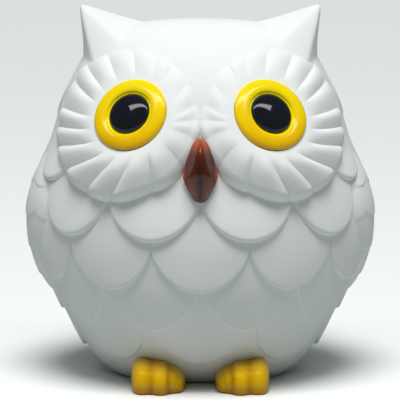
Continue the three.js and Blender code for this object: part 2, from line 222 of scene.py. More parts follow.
@dataclass
class Skin:
    """The body's plain skin, before feathers, discs and ears: an upright egg with an oval section."""

    # Height, half width, depth in front of the axis and depth behind it.
    sections: tuple[tuple[float, float, float, float], ...] = (
        (0.0, 38.9, 27.0, 28.0),
        (4.0, 43.8, 32.4, 34.0),
        (13.0, 50.9, 40.2, 42.5),
        (26.0, 58.0, 50.2, 52.0),
        (42.0, 66.0, 58.6, 59.5),
        (58.0, 71.4, 62.0, 62.6),
        (72.0, 72.6, 62.6, 63.2),
        (88.0, 70.2, 60.6, 62.0),
        (104.0, 64.6, 58.0, 59.0),
        (118.0, 61.2, 54.2, 55.5),
        (131.0, 56.2, 48.0, 50.0),
        (142.0, 50.0, 38.6, 41.0),
        (150.0, 42.0, 28.0, 31.0),
        (155.0, 28.0, 16.5, 19.0),
        (157.0, 0.0, 0.0, 0.0),
    )
    samples: int = 260  # between two neighbouring sections
    side_turn: float = 0.9  # share of the half width past which a straight-on layout wraps round
    table: np.ndarray = field(init=False)

    def __post_init__(self) -> None:
        """Draws one smooth curve through the sections, level across the crown."""
        rows = np.array(self.sections)
        past = rows[-2] * [1.0, -1.0, -1.0, -1.0]
        points = np.vstack([2 * rows[0] - rows[1], rows, past])
        spans = []
        for i in range(len(rows) - 1):
            spans.append(self._span(points[i : i + 4]))
        self.table = np.vstack(spans + [rows[-1:]])

    def _span(self, four: np.ndarray) -> np.ndarray:
        """A centripetal Catmull-Rom span between the middle two of four rows.

        Args:
            four: four neighbouring rows of the sections.

        Returns:
            Rows along the curve from the second row up to the third.
        """
        steps = np.sqrt(np.linalg.norm(np.diff(four[:, :2], axis=0), axis=1)).clip(1e-6)
        t0, t1, t2, t3 = np.concatenate([[0.0], np.cumsum(steps)])
        t = np.linspace(t1, t2, self.samples, endpoint=False)[:, None]
        a = ((t1 - t) * four[0] + (t - t0) * four[1]) / (t1 - t0)
        b = ((t2 - t) * four[1] + (t - t1) * four[2]) / (t2 - t1)
        c = ((t3 - t) * four[2] + (t - t2) * four[3]) / (t3 - t2)
        d = ((t2 - t) * a + (t - t0) * b) / (t2 - t0)
        e = ((t3 - t) * b + (t - t1) * c) / (t3 - t1)
        return ((t2 - t) * d + (t - t1) * e) / (t2 - t1)

    @property
    def top(self) -> float:
        """The crown's height."""
        return self.sections[-1][0]

    def section(self, z: np.ndarray) -> tuple[np.ndarray, np.ndarray, np.ndarray]:
        """Half width, front depth and back depth at a height."""
        z = np.clip(z, 0.0, self.top)
        return tuple(np.interp(z, self.table[:, 0], self.table[:, k]) for k in (1, 2, 3))

    def point(self, z: np.ndarray, around: np.ndarray) -> np.ndarray:
        """The skin at a height and an angle from the front.

        Args:
            z: heights.
            around: angles in radians, positive towards +X.

        Returns:
            Points, without the ears.
        """
        wide, front, back = self.section(z)
        depth = np.where(np.cos(around) > 0, front, back)
        return np.stack([wide * np.sin(around), -depth * np.cos(around), z + 0 * around], axis=-1)

    def normal(self, z: np.ndarray, around: np.ndarray) -> np.ndarray:
        """The skin's outward direction.

        Args:
            z: heights.
            around: angles from the front, in radians.

        Returns:
            Directions of length one.
        """
        step = 0.3
        low = np.clip(z - step, 0.0, self.top - 2 * step)
        rise = self.point(low + 2 * step, around) - self.point(low, around)
        across = self.point(z, around + 0.01) - self.point(z, around - 0.01)
        out = np.cross(across, rise)
        return out / np.linalg.norm(out, axis=-1, keepdims=True).clip(1e-9)

    def over(self, z: np.ndarray, around: np.ndarray, out: np.ndarray) -> np.ndarray:
        """Points that stand `out` over the skin."""
        return self.point(z, around) + self.normal(z, around) * np.asarray(out)[..., None]

    def around_of(self, x: np.ndarray, z: np.ndarray) -> np.ndarray:
        """The angle from the front of places laid out as seen straight on, eased past the sides.

        Args:
            x: how far to the side the places are.
            z: their heights.

        Returns:
            Angles in radians.
        """
        share = x / self.section(z)[0].clip(1.0)
        inside = np.arcsin(np.clip(np.abs(share), 0.0, self.side_turn))
        past = np.clip(np.abs(share) - self.side_turn, 0.0, None)
        return np.sign(share) * (inside + past / math.sqrt(1 - self.side_turn**2))


@dataclass
class Ears:
    """Two three-sided horns drawn out of the head's upper corners, with hollow flanks."""

    corner_height: float = 150.2
    rise: float = 17.6
    outer_root: float = 14.0
    inner_root: float = 16.5
    front_root: float = 22.0
    back_root: float = 20.0
    front_slant: float = 0.18  # how far the front ridge leans outwards at its foot
    inner_slant: float = 0.72
    ridge_softness: float = 0.035
    lean: tuple[float, float] = (0.64, 0.768)  # which way an ear points: outwards and up
    hollow: float = 1.25  # how far the flanks are scooped out
    reach: tuple[float, float] = (128.0, 136.0)  # heights between which the ears begin to tell

    def pull(self, skin: Skin, points: np.ndarray) -> np.ndarray:
        """Draws the ears out of the head.

        Args:
            skin: the skin that the points lie on.
            points: points of the head.

        Returns:
            The same points, moved where an ear stands.
        """
        corner = skin.point(np.array(self.corner_height), np.array(math.pi / 2))
        side = np.where(points[..., :1] < 0, -1.0, 1.0)
        away = points * np.concatenate([side, 0 * side + 1, 0 * side + 1], axis=-1) - corner
        inward = away @ np.array([-self.lean[1], 0.0, self.lean[0]])
        forward = -away[..., 1]
        faces = [
            1 + inward / self.outer_root - self.front_slant * forward / self.front_root,
            1 - inward / self.inner_root - self.inner_slant * forward.clip(0) / self.front_root,
            1 - forward / self.front_root,
            1 + forward / self.back_root,
        ]
        share = soft_least(faces, self.ridge_softness).clip(0.0)
        lift = self.rise * share[..., None] ** self.hollow
        high = smooth(*self.reach, points[..., 2:3])
        up = np.concatenate([self.lean[0] * side, 0 * side, 0 * side + self.lean[1]], axis=-1)
        return points + up * lift * high


# ---------------------------------------------------------------- shader effects


class Tree:
    """A node tree with short calls for placing and joining its nodes."""

    def __init__(self, nodes: bpy.types.NodeTree) -> None:
        """Keeps the tree that the nodes go in."""
        self.tree = nodes

    def node(self, kind: str, **settings: object) -> bpy.types.Node:
        """Places a node.

        Args:
            kind: the node's type.
            settings: its properties by name.

        Returns:
            The node.
        """
        made = self.tree.nodes.new(kind)
        for name, value in settings.items():
            setattr(made, name, value)
        return made

    def join(self, value: object, socket: bpy.types.NodeSocket) -> None:
        """Links a socket's value into another, or sets it if it is a plain number or colour.

        Args:
            value: a Value, a socket, or a number or colour.
            socket: the input that takes it.
        """
        if isinstance(value, Value):
            value = value.socket
        if isinstance(value, bpy.types.NodeSocket):
            self.tree.links.new(value, socket)
        else:
            socket.default_value = value

    def math(self, operation: str, *inputs: object) -> "Value":
        """Places a Math node.

        Args:
            operation: what it works out.
            inputs: Values or numbers.

        Returns:
            The result.
        """
        node = self.node("ShaderNodeMath", operation=operation)
        for value, socket in zip(inputs, node.inputs):
            self.join(value, socket)
        return Value(self, node.outputs[0])

    def vector(self, x: object, y: object, z: object) -> bpy.types.NodeSocket:
        """Joins three values into a vector.

        Args:
            x: the first value.
            y: the second value.
            z: the third value.

        Returns:
            The vector's socket.
        """
        node = self.node("ShaderNodeCombineXYZ")
        for value, socket in zip((x, y, z), node.inputs):
            self.join(value, socket)
        return node.outputs[0]

    def vector_math(self, operation: str, *inputs: object) -> bpy.types.NodeSocket:
        """Places a Vector Math node.

        Args:
            operation: what it works out; SCALE takes its number last.
            inputs: vectors, or a vector and a number.

        Returns:
            The resulting vector's socket.
        """
        node = self.node("ShaderNodeVectorMath", operation=operation)
        sockets = [node.inputs[0], node.inputs["Scale"] if operation == "SCALE" else node.inputs[1]]
        for value, socket in zip(inputs, sockets):
            self.join(value, socket)
        return node.outputs[0]

    def socket(self, name: str, kind: str, value: object = None, output: bool = False) -> None:
        """Adds a named input or output to a group.

        Args:
            name: its name.
            kind: the socket's type.
            value: its first value, if it has one.
            output: whether it is an output.
        """
        way = "OUTPUT" if output else "INPUT"
        made = self.tree.interface.new_socket(name, in_out=way, socket_type=kind)
        if value is not None:
            made.default_value = value


class Value:
    """A number in a node tree, on which arithmetic places Math nodes."""

    def __init__(self, tree: Tree, socket: bpy.types.NodeSocket) -> None:
        """Keeps the tree and the socket that gives the number."""
        self.tree = tree
        self.socket = socket

    def __add__(self, other: object) -> "Value":
        """This plus another."""
        return self.tree.math("ADD", self, other)

    def __sub__(self, other: object) -> "Value":
        """This less another."""
        return self.tree.math("SUBTRACT", self, other)

    def __rsub__(self, other: object) -> "Value":
        """Another less this."""
        return self.tree.math("SUBTRACT", other, self)

    def __mul__(self, other: object) -> "Value":
        """This times another."""
        return self.tree.math("MULTIPLY", self, other)

    def __rmul__(self, other: object) -> "Value":
        """Another times this."""
        return self.tree.math("MULTIPLY", other, self)

    def __truediv__(self, other: object) -> "Value":
        """This over another."""
        return self.tree.math("DIVIDE", self, other)

    def __rtruediv__(self, other: object) -> "Value":
        """Another over this."""
        return self.tree.math("DIVIDE", other, self)

    def __pow__(self, other: object) -> "Value":
        """This to a power."""
        return self.tree.math("POWER", self, other)

    def root(self) -> "Value":
        """The square root."""
        return self.tree.math("SQRT", self)

    def least(self, other: object) -> "Value":
        """The lesser of this and another."""
        return self.tree.math("MINIMUM", self, other)

    def most(self, other: object) -> "Value":
        """The greater of this and another."""
        return self.tree.math("MAXIMUM", self, other)


class ClayEffects:
    """Shader node groups that more than one finish uses, each built once."""

    speck_edge = 12.0  # how sharply a speck ends

    def __init__(self) -> None:
        """Builds the groups."""
        self.grain = self._grain()
        self.clouding = self._clouding()

    def _grain(self) -> bpy.types.NodeTree:
        """Builds fine tooth and faint tool marks as one bump height.

        Returns:
            The group.
        """
        group = bpy.data.node_groups.new("Fine tooth", "ShaderNodeTree")
        tree = Tree(group)
        tree.socket("Grain size", "NodeSocketFloat", 900.0)
        tree.socket("Grain share", "NodeSocketFloat", 0.6)
        tree.socket("Ripple size", "NodeSocketFloat", 60.0)
        tree.socket("Height", "NodeSocketFloat", output=True)
        inputs = tree.node("NodeGroupInput").outputs
        outputs = tree.node("NodeGroupOutput").inputs
        place = tree.node("ShaderNodeTexCoord").outputs["Object"]
        grain = tree.node("ShaderNodeTexNoise")
        ripple = tree.node("ShaderNodeTexNoise")
        for noise, size, detail in ((grain, "Grain size", 3.0), (ripple, "Ripple size", 2.0)):
            tree.join(place, noise.inputs["Vector"])
            tree.join(inputs[size], noise.inputs["Scale"])
            noise.inputs["Detail"].default_value = detail
        share = Value(tree, inputs["Grain share"])
        fine = Value(tree, grain.outputs["Fac"]) * share
        tree.join(fine + Value(tree, ripple.outputs["Fac"]) * (1.0 - share), outputs["Height"])
        return group

    def _clouding(self) -> bpy.types.NodeTree:
        """Builds a slow mottle and scattered specks, as two masks.

        Returns:
            The group.
        """
        group = bpy.data.node_groups.new("Clouding and specks", "ShaderNodeTree")
        tree = Tree(group)
        tree.socket("Cloud size", "NodeSocketFloat", 25.0)
        tree.socket("Speck size", "NodeSocketFloat", 420.0)
        tree.socket("Speck share", "NodeSocketFloat", 0.1)
        tree.socket("Cloud", "NodeSocketFloat", output=True)
        tree.socket("Speck", "NodeSocketFloat", output=True)
        inputs = tree.node("NodeGroupInput").outputs
        outputs = tree.node("NodeGroupOutput").inputs
        place = tree.node("ShaderNodeTexCoord").outputs["Object"]
        cloud = tree.node("ShaderNodeTexNoise")
        tree.join(place, cloud.inputs["Vector"])
        tree.join(inputs["Cloud size"], cloud.inputs["Scale"])
        cloud.inputs["Detail"].default_value = 4.0
        specks = tree.node("ShaderNodeTexVoronoi")
        tree.join(place, specks.inputs["Vector"])
        tree.join(inputs["Speck size"], specks.inputs["Scale"])
        near = Value(tree, inputs["Speck share"]) - Value(tree, specks.outputs["Distance"])
        tree.join(cloud.outputs["Fac"], outputs["Cloud"])
        tree.join((near * self.speck_edge).most(0.0).least(1.0), outputs["Speck"])
        return group

    @staticmethod
    def placed(
        tree: Tree, group: bpy.types.NodeTree, settings: dict[str, float]
    ) -> bpy.types.NodeOutputs:
        """Places one of the groups in a material.

        Args:
            tree: the material's tree.
            group: the group.
            settings: the group's inputs by name.

        Returns:
            The placed group's outputs.
        """
        node = tree.node("ShaderNodeGroup", node_tree=group)
        for name, value in settings.items():
            node.inputs[name].default_value = value
        return node.outputs


def colour_mix(tree: Tree, share: object, low: Sequence[float], high: object) -> bpy.types.NodeSocket:
    """A colour between two.

    Args:
        tree: the material's tree.
        share: 0 for the first colour and 1 for the second.
        low: the first colour.
        high: the second colour, plain or from a socket.

    Returns:
        The mixed colour's socket.
    """
    node = tree.node("ShaderNodeMix", data_type="RGBA")
    tree.join(share, node.inputs["Factor"])
    for value, socket in ((low, node.inputs[6]), (high, node.inputs[7])):
        tree.join((*value, 1.0) if isinstance(value, (tuple, list)) else value, socket)
    return node.outputs[2]


def attribute(tree: Tree, name: str) -> Value:
    """A value stored on the piece's points."""
    return Value(tree, tree.node("ShaderNodeAttribute", attribute_name=name).outputs["Fac"])


def ramp(tree: Tree, value: Value, low: float, high: float) -> Value:
    """The value spread so that low gives 0 and high gives 1, held between them."""
    return ((value - low) / (high - low)).most(0.0).least(1.0)


@dataclass(frozen=True)
class Surface:
    """How a finish is mottled, specked and toothed. Sizes are repeats in a metre."""

    cloud_size: float
    speck_size: float
    speck_share: float
    speck_strength: float
    grain_size: float
    ripple_size: float
    grain_share: float
    bump: float
    bump_depth: float  # in metres

    def masks(self, tree: Tree, effects: ClayEffects) -> tuple[Value, Value]:
        """Places the mottle and the specks.

        Args:
            tree: the material's tree.
            effects: the shared groups.

        Returns:
            The clouding, and how far a speck covers it.
        """
        sizes = {
            "Cloud size": self.cloud_size,
            "Speck size": self.speck_size,
            "Speck share": self.speck_share,
        }
        made = effects.placed(tree, effects.clouding, sizes)
        return Value(tree, made["Cloud"]), Value(tree, made["Speck"]) * self.speck_strength

    def add_bump(self, tree: Tree, shader: bpy.types.Node, effects: ClayEffects) -> None:
        """Feeds the tooth into the shader's normal.

        Args:
            tree: the material's tree.
            shader: its shader.
            effects: the shared groups.
        """
        sizes = {
            "Grain size": self.grain_size,
            "Ripple size": self.ripple_size,
            "Grain share": self.grain_share,
        }
        height = effects.placed(tree, effects.grain, sizes)["Height"]
        bump = tree.node("ShaderNodeBump")
        bump.inputs["Strength"].default_value = self.bump
        bump.inputs["Distance"].default_value = self.bump_depth
        tree.join(height, bump.inputs["Height"])
        tree.join(bump.outputs["Normal"], shader.inputs["Normal"])


@dataclass(frozen=True)
class BisqueFinish:
    """Unglazed white clay, sponged smooth: matte, very faintly mottled and toothed."""

    name: str = "White bisque"
    pale: tuple[float, float, float] = (0.855, 0.878, 0.87)
    shade: tuple[float, float, float] = (0.81, 0.838, 0.83)
    speck: tuple[float, float, float] = (0.70, 0.70, 0.67)
    cloud_span: tuple[float, float] = (0.35, 0.68)  # the clouding's range that the shades spread over
    roughness: float = 0.56
    rougher: float = 0.12  # how much rougher the shaded clay is
    specular: float = 0.32
    surface: Surface = Surface(
        cloud_size=28.0,
        speck_size=160.0,
        speck_share=0.05,
        speck_strength=0.35,
        grain_size=1500.0,
        ripple_size=90.0,
        grain_share=0.35,
        bump=0.06,
        bump_depth=0.0004,
    )

    def make(self, effects: ClayEffects) -> bpy.types.Material:
        """Builds the material.

        Args:
            effects: the shared groups.

        Returns:
            The material.
        """
        material, tree, shader = new_material(self.name)
        clouding, specks = self.surface.masks(tree, effects)
        cloud = ramp(tree, clouding, *self.cloud_span)
        clay = colour_mix(tree, cloud, self.pale, self.shade)
        tree.join(colour_mix(tree, specks, clay, self.speck), shader.inputs["Base Color"])
        tree.join(cloud * self.rougher + self.roughness, shader.inputs["Roughness"])
        shader.inputs["Specular IOR Level"].default_value = self.specular
        self.surface.add_bump(tree, shader, effects)
        return material


@dataclass(frozen=True)
class GlazeFinish:
    """A run glaze, thin and light on crests, thick and dark where it pools, with a glassy coat; on the eye
    rings and beak its colours also draw painted shade, a painted highlight and a painted reflection.
    """

    name: str
    thin: tuple[float, float, float]
    thick: tuple[float, float, float]
    pooled: tuple[float, float, float]
    roughness: float = 0.16
    rougher: float = 0.1  # how far the clouding changes it
    specular: float = 0.5
    coat: float = 0.9
    coat_roughness: float = 0.03
    coat_ior: float = 1.5
    drift: float = 0.28  # how far the clouding shifts the glaze's depth
    surface: Surface = Surface(
        cloud_size=160.0,
        speck_size=900.0,
        speck_share=0.08,
        speck_strength=0.25,
        grain_size=700.0,
        ripple_size=140.0,
        grain_share=0.12,
        bump=0.05,
        bump_depth=0.0006,
    )

    def make(self, effects: ClayEffects) -> bpy.types.Material:
        """Builds the material, which reads from a stored attribute how deep the glaze lies, with painted
        shade, highlight and reflection where a piece stores them.

        Args:
            effects: the shared groups.

        Returns:
            The material.
        """
        material, tree, shader = new_material(self.name)
        clouding, specks = self.surface.masks(tree, effects)
        cloud = clouding - 0.5
        # the stored value also holds painted light: shade and a highlight on the eye rings, a dark
        # reflection on the beak
        pool = attribute(tree, "pool") + cloud * self.drift
        first = colour_mix(tree, ramp(tree, pool, 0.0, 0.5), self.thin, self.thick)
        last = colour_mix(tree, ramp(tree, pool, 0.5, 1.0), first, self.pooled)
        tree.join(colour_mix(tree, specks, last, self.pooled), shader.inputs["Base Color"])
        tree.join(cloud * self.rougher + self.roughness, shader.inputs["Roughness"])
        shader.inputs["Specular IOR Level"].default_value = self.specular
        shader.inputs["Coat Roughness"].default_value = self.coat_roughness
        shader.inputs["Coat IOR"].default_value = self.coat_ior
        shader.inputs["Coat Weight"].default_value = self.coat
        self.surface.add_bump(tree, shader, effects)
        return material


class Glaze(Enum):
    """The glazes on the figurine."""

    # On the eye rings the thick and pooled colours also draw painted shade low on the ring, and the thin
    # colour a painted highlight on the ledge.
    YELLOW = GlazeFinish(
        "Yellow glaze",
        thin=(1.0, 0.82, 0.0),
        thick=(0.93, 0.58, 0.0),
        pooled=(0.62, 0.28, 0.0),
        specular=0.25,
        coat=0.45,
    )
    AMBER = GlazeFinish(
        "Amber glaze",
        thin=(0.9, 0.55, 0.0),
        thick=(0.76, 0.38, 0.0),
        pooled=(0.55, 0.24, 0.0),
        specular=0.15,
        coat=0.3,
    )
    BLACK = GlazeFinish(
        "Black glaze",
        thin=(0.006, 0.007, 0.012),
        thick=(0.008, 0.01, 0.018),
        pooled=(0.004, 0.004, 0.006),
        roughness=0.08,
        specular=0.3,
        coat=0.5,
    )
    # On the beak the deeper colours also draw a painted dark reflection down the lower ridge.
    BROWN = GlazeFinish(
        "Brown glaze",
        thin=(0.48, 0.075, 0.012),
        thick=(0.15, 0.024, 0.008),
        pooled=(0.018, 0.005, 0.004),
        roughness=0.1,
        specular=0.3,
        coat=0.6,
    )


def new_material(name: str) -> tuple[bpy.types.Material, Tree, bpy.types.Node]:
    """An empty material with its Principled shader.

    Args:
        name: the material's name.

    Returns:
        The material, its tree and its shader node.
    """
    material = bpy.data.materials.new(name)
    material.use_nodes = True
    return material, Tree(material.node_tree), material.node_tree.nodes["Principled BSDF"]


def dress(piece: bpy.types.Object, material: bpy.types.Material, slot: str, *nodes: str) -> None:
    """Gives a piece its finish, hangs it on the body and hides the CAD nodes that it stands for.

    Args:
        piece: the piece.
        material: its finish.
        slot: not used.
        nodes: the CAD nodes that it stands for.
    """
    piece.data.materials.clear()
    piece.data.materials.append(material)
    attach(piece, BODY)
    if nodes:
        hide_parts(*nodes)
    piece.data.calc_loop_triangles()
    LOG.info("%s: %d triangles", piece.name, len(piece.data.loop_triangles))


# ---------------------------------------------------------------- the body


@dataclass
class BodyShell:
    """The hollow cast shell: outer skin with ears, flat base with its drain hole, and inner wall."""

    skin: Skin
    ears: Ears
    columns: int = 336
    rows: int = 236
    inner_rows: int = 26
    wall: float = 4.5
    hole: float = 9.0  # radius of the drain hole
    hole_bevel: float = 1.12  # how far its bevel reaches, in radii
    hole_step: float = 0.5
    rim_inset: float = 1 / 30  # share of the base's radius that the rounding of its rim takes
    rim_lift: float = 0.12
    base_rings: tuple[float, ...] = (0.85, 0.6)  # rings on the base, as shares of its radius

    def outer_rings(self) -> np.ndarray:
        """Spaces the outer rings evenly along the side's outline.

        Returns:
            Their heights, from the base up.
        """
        table = self.skin.table
        run = np.linalg.norm(np.diff(table[:, :3], axis=0), axis=1)
        along = np.concatenate([[0.0], np.cumsum(run)])
        return np.interp(np.linspace(0.0, along[-1], self.rows), along, table[:, 0])

    def build(self) -> bpy.types.Object:
        """Makes the shell as one closed surface from the outer crown to the inner crown.

        Returns:
            The piece.
        """
        around = np.linspace(0.0, 2 * math.pi, self.columns, endpoint=False)
        heights = self.outer_rings()
        z = heights[::-1, None] + 0 * around
        outer = self.ears.pull(self.skin, self.skin.point(z, around + 0 * z))
        outer[0] = [0.0, 0.0, self.skin.top]
        rim = self.skin.point(np.zeros_like(around), around)
        flat = np.hypot(rim[:, 0], rim[:, 1])[:, None]
        rings = []
        for share in (1.0 - self.rim_inset, *self.base_rings):
            rings.append(rim * share)
        hole = np.concatenate([rim[:, :2] / flat * self.hole, rim[:, 2:]], axis=1)
        rings += [hole * self.hole_bevel, hole]
        for height in (self.hole_step, self.wall):
            rings.append(hole + [0.0, 0.0, height])
        rounded = rim * (1 - self.rim_inset / 2)
        outer[-1] += (rounded - outer[-1]) * 0.5 + [0.0, 0.0, self.rim_lift]
        inner = []
        for share in np.linspace(0.0, 1.0, self.inner_rows):
            height = self.skin.top * math.sin(share * math.pi / 2)
            ring = self.skin.point(np.full_like(around, height), around)
            reach = np.hypot(ring[:, 0], ring[:, 1])[:, None].clip(self.wall)
            ring[:, :2] *= 1 - self.wall / reach
            ring[:, 2] = self.wall + ring[:, 2] * (self.skin.top - 2 * self.wall) / self.skin.top
            inner.append(ring)
        inner[-1][:] = [0.0, 0.0, self.skin.top - self.wall]
        points = np.concatenate([outer, np.array(rings), np.array(inner)])
        quads = grid_quads(len(points), self.columns, True)[:, ::-1]
        return piece_from("body_shell_skin", points, quads)


@dataclass(frozen=True)
class FeatherRow:
    """One ring of scale-like feathers round the body."""

    name: str
    tip: float
    joint: float
    above: float  # the joint height of the row over it, where this row runs in under
    count: int
    phase: float  # where the first feather is centred, in feathers from the front
    lip: float  # height of the tip over the skin
    crown: float = 0.5  # swelling along the middle
    flare: float = 0.0  # how far the very edge turns out
    edge: float = 0.9  # radius of the lip's rounding
    bare_front: float = 0.0  # angle each side of the front with no feathers, in degrees


@dataclass
class FeatherCoat:
    """Rings of overlapping feathers that follow the skin, each grown by one Geometry Nodes tree."""

    rows: tuple[FeatherRow, ...] = (
        FeatherRow("crown", 131.0, 144.0, 151.0, 9, 0.0, 1.6, edge=1.4, bare_front=88.0),
        FeatherRow("nape", 109.5, 124.5, 144.0, 10, 0.0, 2.0, edge=1.6, bare_front=80.0),
        FeatherRow("collar", 88.5, 104.0, 124.5, 11, 0.0, 2.3, crown=0.9, edge=2.2, bare_front=20.0),
        FeatherRow("breast", 67.5, 83.2, 104.0, 11, 0.5, 2.6, crown=1.1, edge=2.4),
        FeatherRow("belly", 46.8, 62.3, 83.2, 11, 0.0, 2.2, crown=0.8, edge=1.4),
        FeatherRow("flank", 28.8, 47.5, 62.3, 10, 0.5, 1.6, crown=0.6, flare=0.15, edge=1.5),
        FeatherRow("skirt", 12.3, 29.5, 47.5, 8, 0.0, 1.2, crown=0.5, flare=0.15, edge=1.4),
    )
    across: int = 44
    along: int = 34
    arc: float = 1.06  # radius of a tip's arc over half the feather's width
    sunk: float = 1.4  # how far the underside lies under the skin
    width_over_depth: float = 1.155
    run_in: float = 1.7  # how late a feather's rows crowd towards its top
    overlap: float = 2.0  # how far a feather runs in under the row over it
    roll: float = 2.7  # how late the lip rolls over
    flare_width: float = 1.1
    girth: float = 66.0  # the body's middling radius, from which the slope of an edge follows
    afar: float = 120.0  # how far outside the skin is looked for from

    def tree(self) -> bpy.types.NodeTree:
        """Builds the tree that grows one ring: a flat feather, instanced in a row and laid on the skin.

        Returns:
            The tree.
        """
        group = bpy.data.node_groups.new("Feather ring", "GeometryNodeTree")
        tree = Tree(group)
        tree.socket("Geometry", "NodeSocketGeometry")
        for name in ("Tip", "Joint", "Above", "Lip", "Crown", "Flare", "Edge", "Sunk", "Phase", "Arc"):
            tree.socket(name, "NodeSocketFloat")
        for name in ("Bare front", "Width over depth", "Axis depth"):
            tree.socket(name, "NodeSocketFloat")
        for name in ("Count", "Across", "Along"):
            tree.socket(name, "NodeSocketInt")
        tree.socket("Skin", "NodeSocketObject")
        tree.socket("Finish", "NodeSocketMaterial")
        tree.socket("Geometry", "NodeSocketGeometry", output=True)
        inputs = tree.node("NodeGroupInput").outputs
        real = self._ring(tree, inputs)
        laid = self._lay(tree, inputs, real)
        shaded = tree.node("GeometryNodeSetShadeSmooth")
        tree.join(laid, shaded.inputs["Geometry"])
        painted = tree.node("GeometryNodeSetMaterial")
        tree.join(shaded.outputs[0], painted.inputs["Geometry"])
        tree.join(inputs["Finish"], painted.inputs["Material"])
        tree.join(painted.outputs[0], tree.node("NodeGroupOutput").inputs["Geometry"])
        return group

    def _ring(self, tree: Tree, inputs: bpy.types.NodeInputs) -> bpy.types.NodeSocket:
        """Instances a flat closed feather, one for each place round the body, and makes them real.

        Args:
            tree: the tree.
            inputs: the tree's inputs.

        Returns:
            The feathers' geometry.
        """
        flat = tree.node("GeometryNodeMeshCube")
        flat.inputs["Size"].default_value = (2.0, 1.0, 1.0)
        tree.join(inputs["Across"], flat.inputs["Vertices X"])
        tree.join(inputs["Along"], flat.inputs["Vertices Y"])
        place = tree.node("ShaderNodeSeparateXYZ")
        tree.join(tree.node("GeometryNodeInputPosition").outputs[0], place.inputs[0])
        geometry = flat.outputs["Mesh"]
        for name, k, shift in (("across", 0, 0.0), ("rise", 1, 0.5), ("outer", 2, 0.5)):
            value = Value(tree, place.outputs[k]) + shift
            geometry = self._stored(tree, geometry, name, value)
        points = tree.node("GeometryNodePoints")
        tree.join(inputs["Count"], points.inputs["Count"])
        index = Value(tree, tree.node("GeometryNodeInputIndex").outputs[0])
        turn = (index + Value(tree, inputs["Phase"])) * (2 * math.pi) / Value(tree, inputs["Count"])
        middle = tree.math("WRAP", turn, math.pi, -math.pi)
        marked = self._stored(tree, points.outputs[0], "middle", middle)
        bare = tree.node("GeometryNodeDeleteGeometry")
        read = self._named(tree, "middle")
        inside = tree.math("LESS_THAN", tree.math("ABSOLUTE", read), Value(tree, inputs["Bare front"]))
        tree.join(marked, bare.inputs["Geometry"])
        tree.join(inside, bare.inputs["Selection"])
        placed = tree.node("GeometryNodeInstanceOnPoints")
        tree.join(bare.outputs[0], placed.inputs["Points"])
        tree.join(geometry, placed.inputs["Instance"])
        real = tree.node("GeometryNodeRealizeInstances")
        tree.join(placed.outputs[0], real.inputs["Geometry"])
        return real.outputs[0]

    def _lay(
        self, tree: Tree, inputs: bpy.types.NodeInputs, geometry: bpy.types.NodeSocket
    ) -> bpy.types.NodeSocket:
        """Lays each feather on the skin, tip lifted and top run in under the row above.

        Args:
            tree: the tree.
            inputs: the tree's inputs.
            geometry: the flat feathers.

        Returns:
            The laid feathers' geometry.
        """
        take = {name: Value(tree, inputs[name]) for name in ("Tip", "Joint", "Above", "Lip", "Edge")}
        across = self._named(tree, "across")
        rise = self._named(tree, "rise") ** self.run_in
        outer = self._named(tree, "outer")
        arc = Value(tree, inputs["Arc"])
        under = (arc * arc - across * across).root()
        full = arc - (arc * arc - 1.0).root()
        low = take["Tip"] + (take["Joint"] - take["Tip"]) * (arc - under) / full
        z = low + (take["Above"] + self.overlap * MM - low) * rise
        half = math.pi / Value(tree, inputs["Count"])
        angle = self._named(tree, "middle") + half * across
        steep = (take["Joint"] - take["Tip"]) / (half * self.girth * MM) * across / under / full
        inset = (z - low) / (steep * steep + 1.0).root()
        slant = (z - take["Tip"]) / (take["Above"] - take["Tip"])
        swell = Value(tree, inputs["Crown"]) * (1.0 - across * across) * (1.0 - slant)
        near = 1.0 - (inset / take["Edge"]).least(1.0)
        drop = take["Edge"] * (1.0 - (1.0 - near**self.roll).root())
        fading = tree.math("EXPONENT", -1.0 * (inset / (self.flare_width * MM)) ** 2.0)
        turned = Value(tree, inputs["Flare"]) * fading
        top = take["Lip"] * (1.0 - slant) + swell + turned - drop
        out = outer * top - (1.0 - outer) * Value(tree, inputs["Sunk"])
        wide = Value(tree, inputs["Width over depth"])
        aim = tree.vector(wide * tree.math("SINE", angle), -1.0 * tree.math("COSINE", angle), 0.0)
        level = tree.vector(0.0, inputs["Axis depth"], z)
        ray = tree.node("GeometryNodeRaycast", data_type="FLOAT_VECTOR")
        skin = tree.node("GeometryNodeObjectInfo", transform_space="ORIGINAL")
        tree.join(inputs["Skin"], skin.inputs["Object"])
        tree.join(skin.outputs["Geometry"], ray.inputs["Target Geometry"])
        tree.join(tree.node("GeometryNodeInputNormal").outputs[0], ray.inputs["Attribute"])
        start = tree.vector_math("ADD", level, tree.vector_math("SCALE", aim, self.afar * MM))
        tree.join(start, ray.inputs["Source Position"])
        tree.join(tree.vector_math("SCALE", aim, -1.0), ray.inputs["Ray Direction"])
        ray.inputs["Ray Length"].default_value = 2 * self.afar * MM
        lifted = tree.vector_math("SCALE", ray.outputs["Attribute"], out)
        laid = tree.node("GeometryNodeSetPosition")
        tree.join(geometry, laid.inputs["Geometry"])
        tree.join(tree.vector_math("ADD", ray.outputs["Hit Position"], lifted), laid.inputs["Position"])
        return laid.outputs[0]

    @staticmethod
    def _stored(
        tree: Tree, geometry: bpy.types.NodeSocket, name: str, value: Value
    ) -> bpy.types.NodeSocket:
        """Stores a number on a geometry's points.

        Args:
            tree: the tree.
            geometry: the geometry.
            name: the number's name.
            value: the number.

        Returns:
            The geometry's socket.
        """
        node = tree.node("GeometryNodeStoreNamedAttribute", data_type="FLOAT", domain="POINT")
        node.inputs["Name"].default_value = name
        tree.join(geometry, node.inputs["Geometry"])
        tree.join(value, node.inputs["Value"])
        return node.outputs[0]

    @staticmethod
    def _named(tree: Tree, name: str) -> Value:
        """Reads a number stored earlier in the tree.

        Args:
            tree: the tree.
            name: the number's name.

        Returns:
            The number.
        """
        node = tree.node("GeometryNodeInputNamedAttribute", data_type="FLOAT")
        node.inputs["Name"].default_value = name
        return Value(tree, node.outputs["Attribute"])

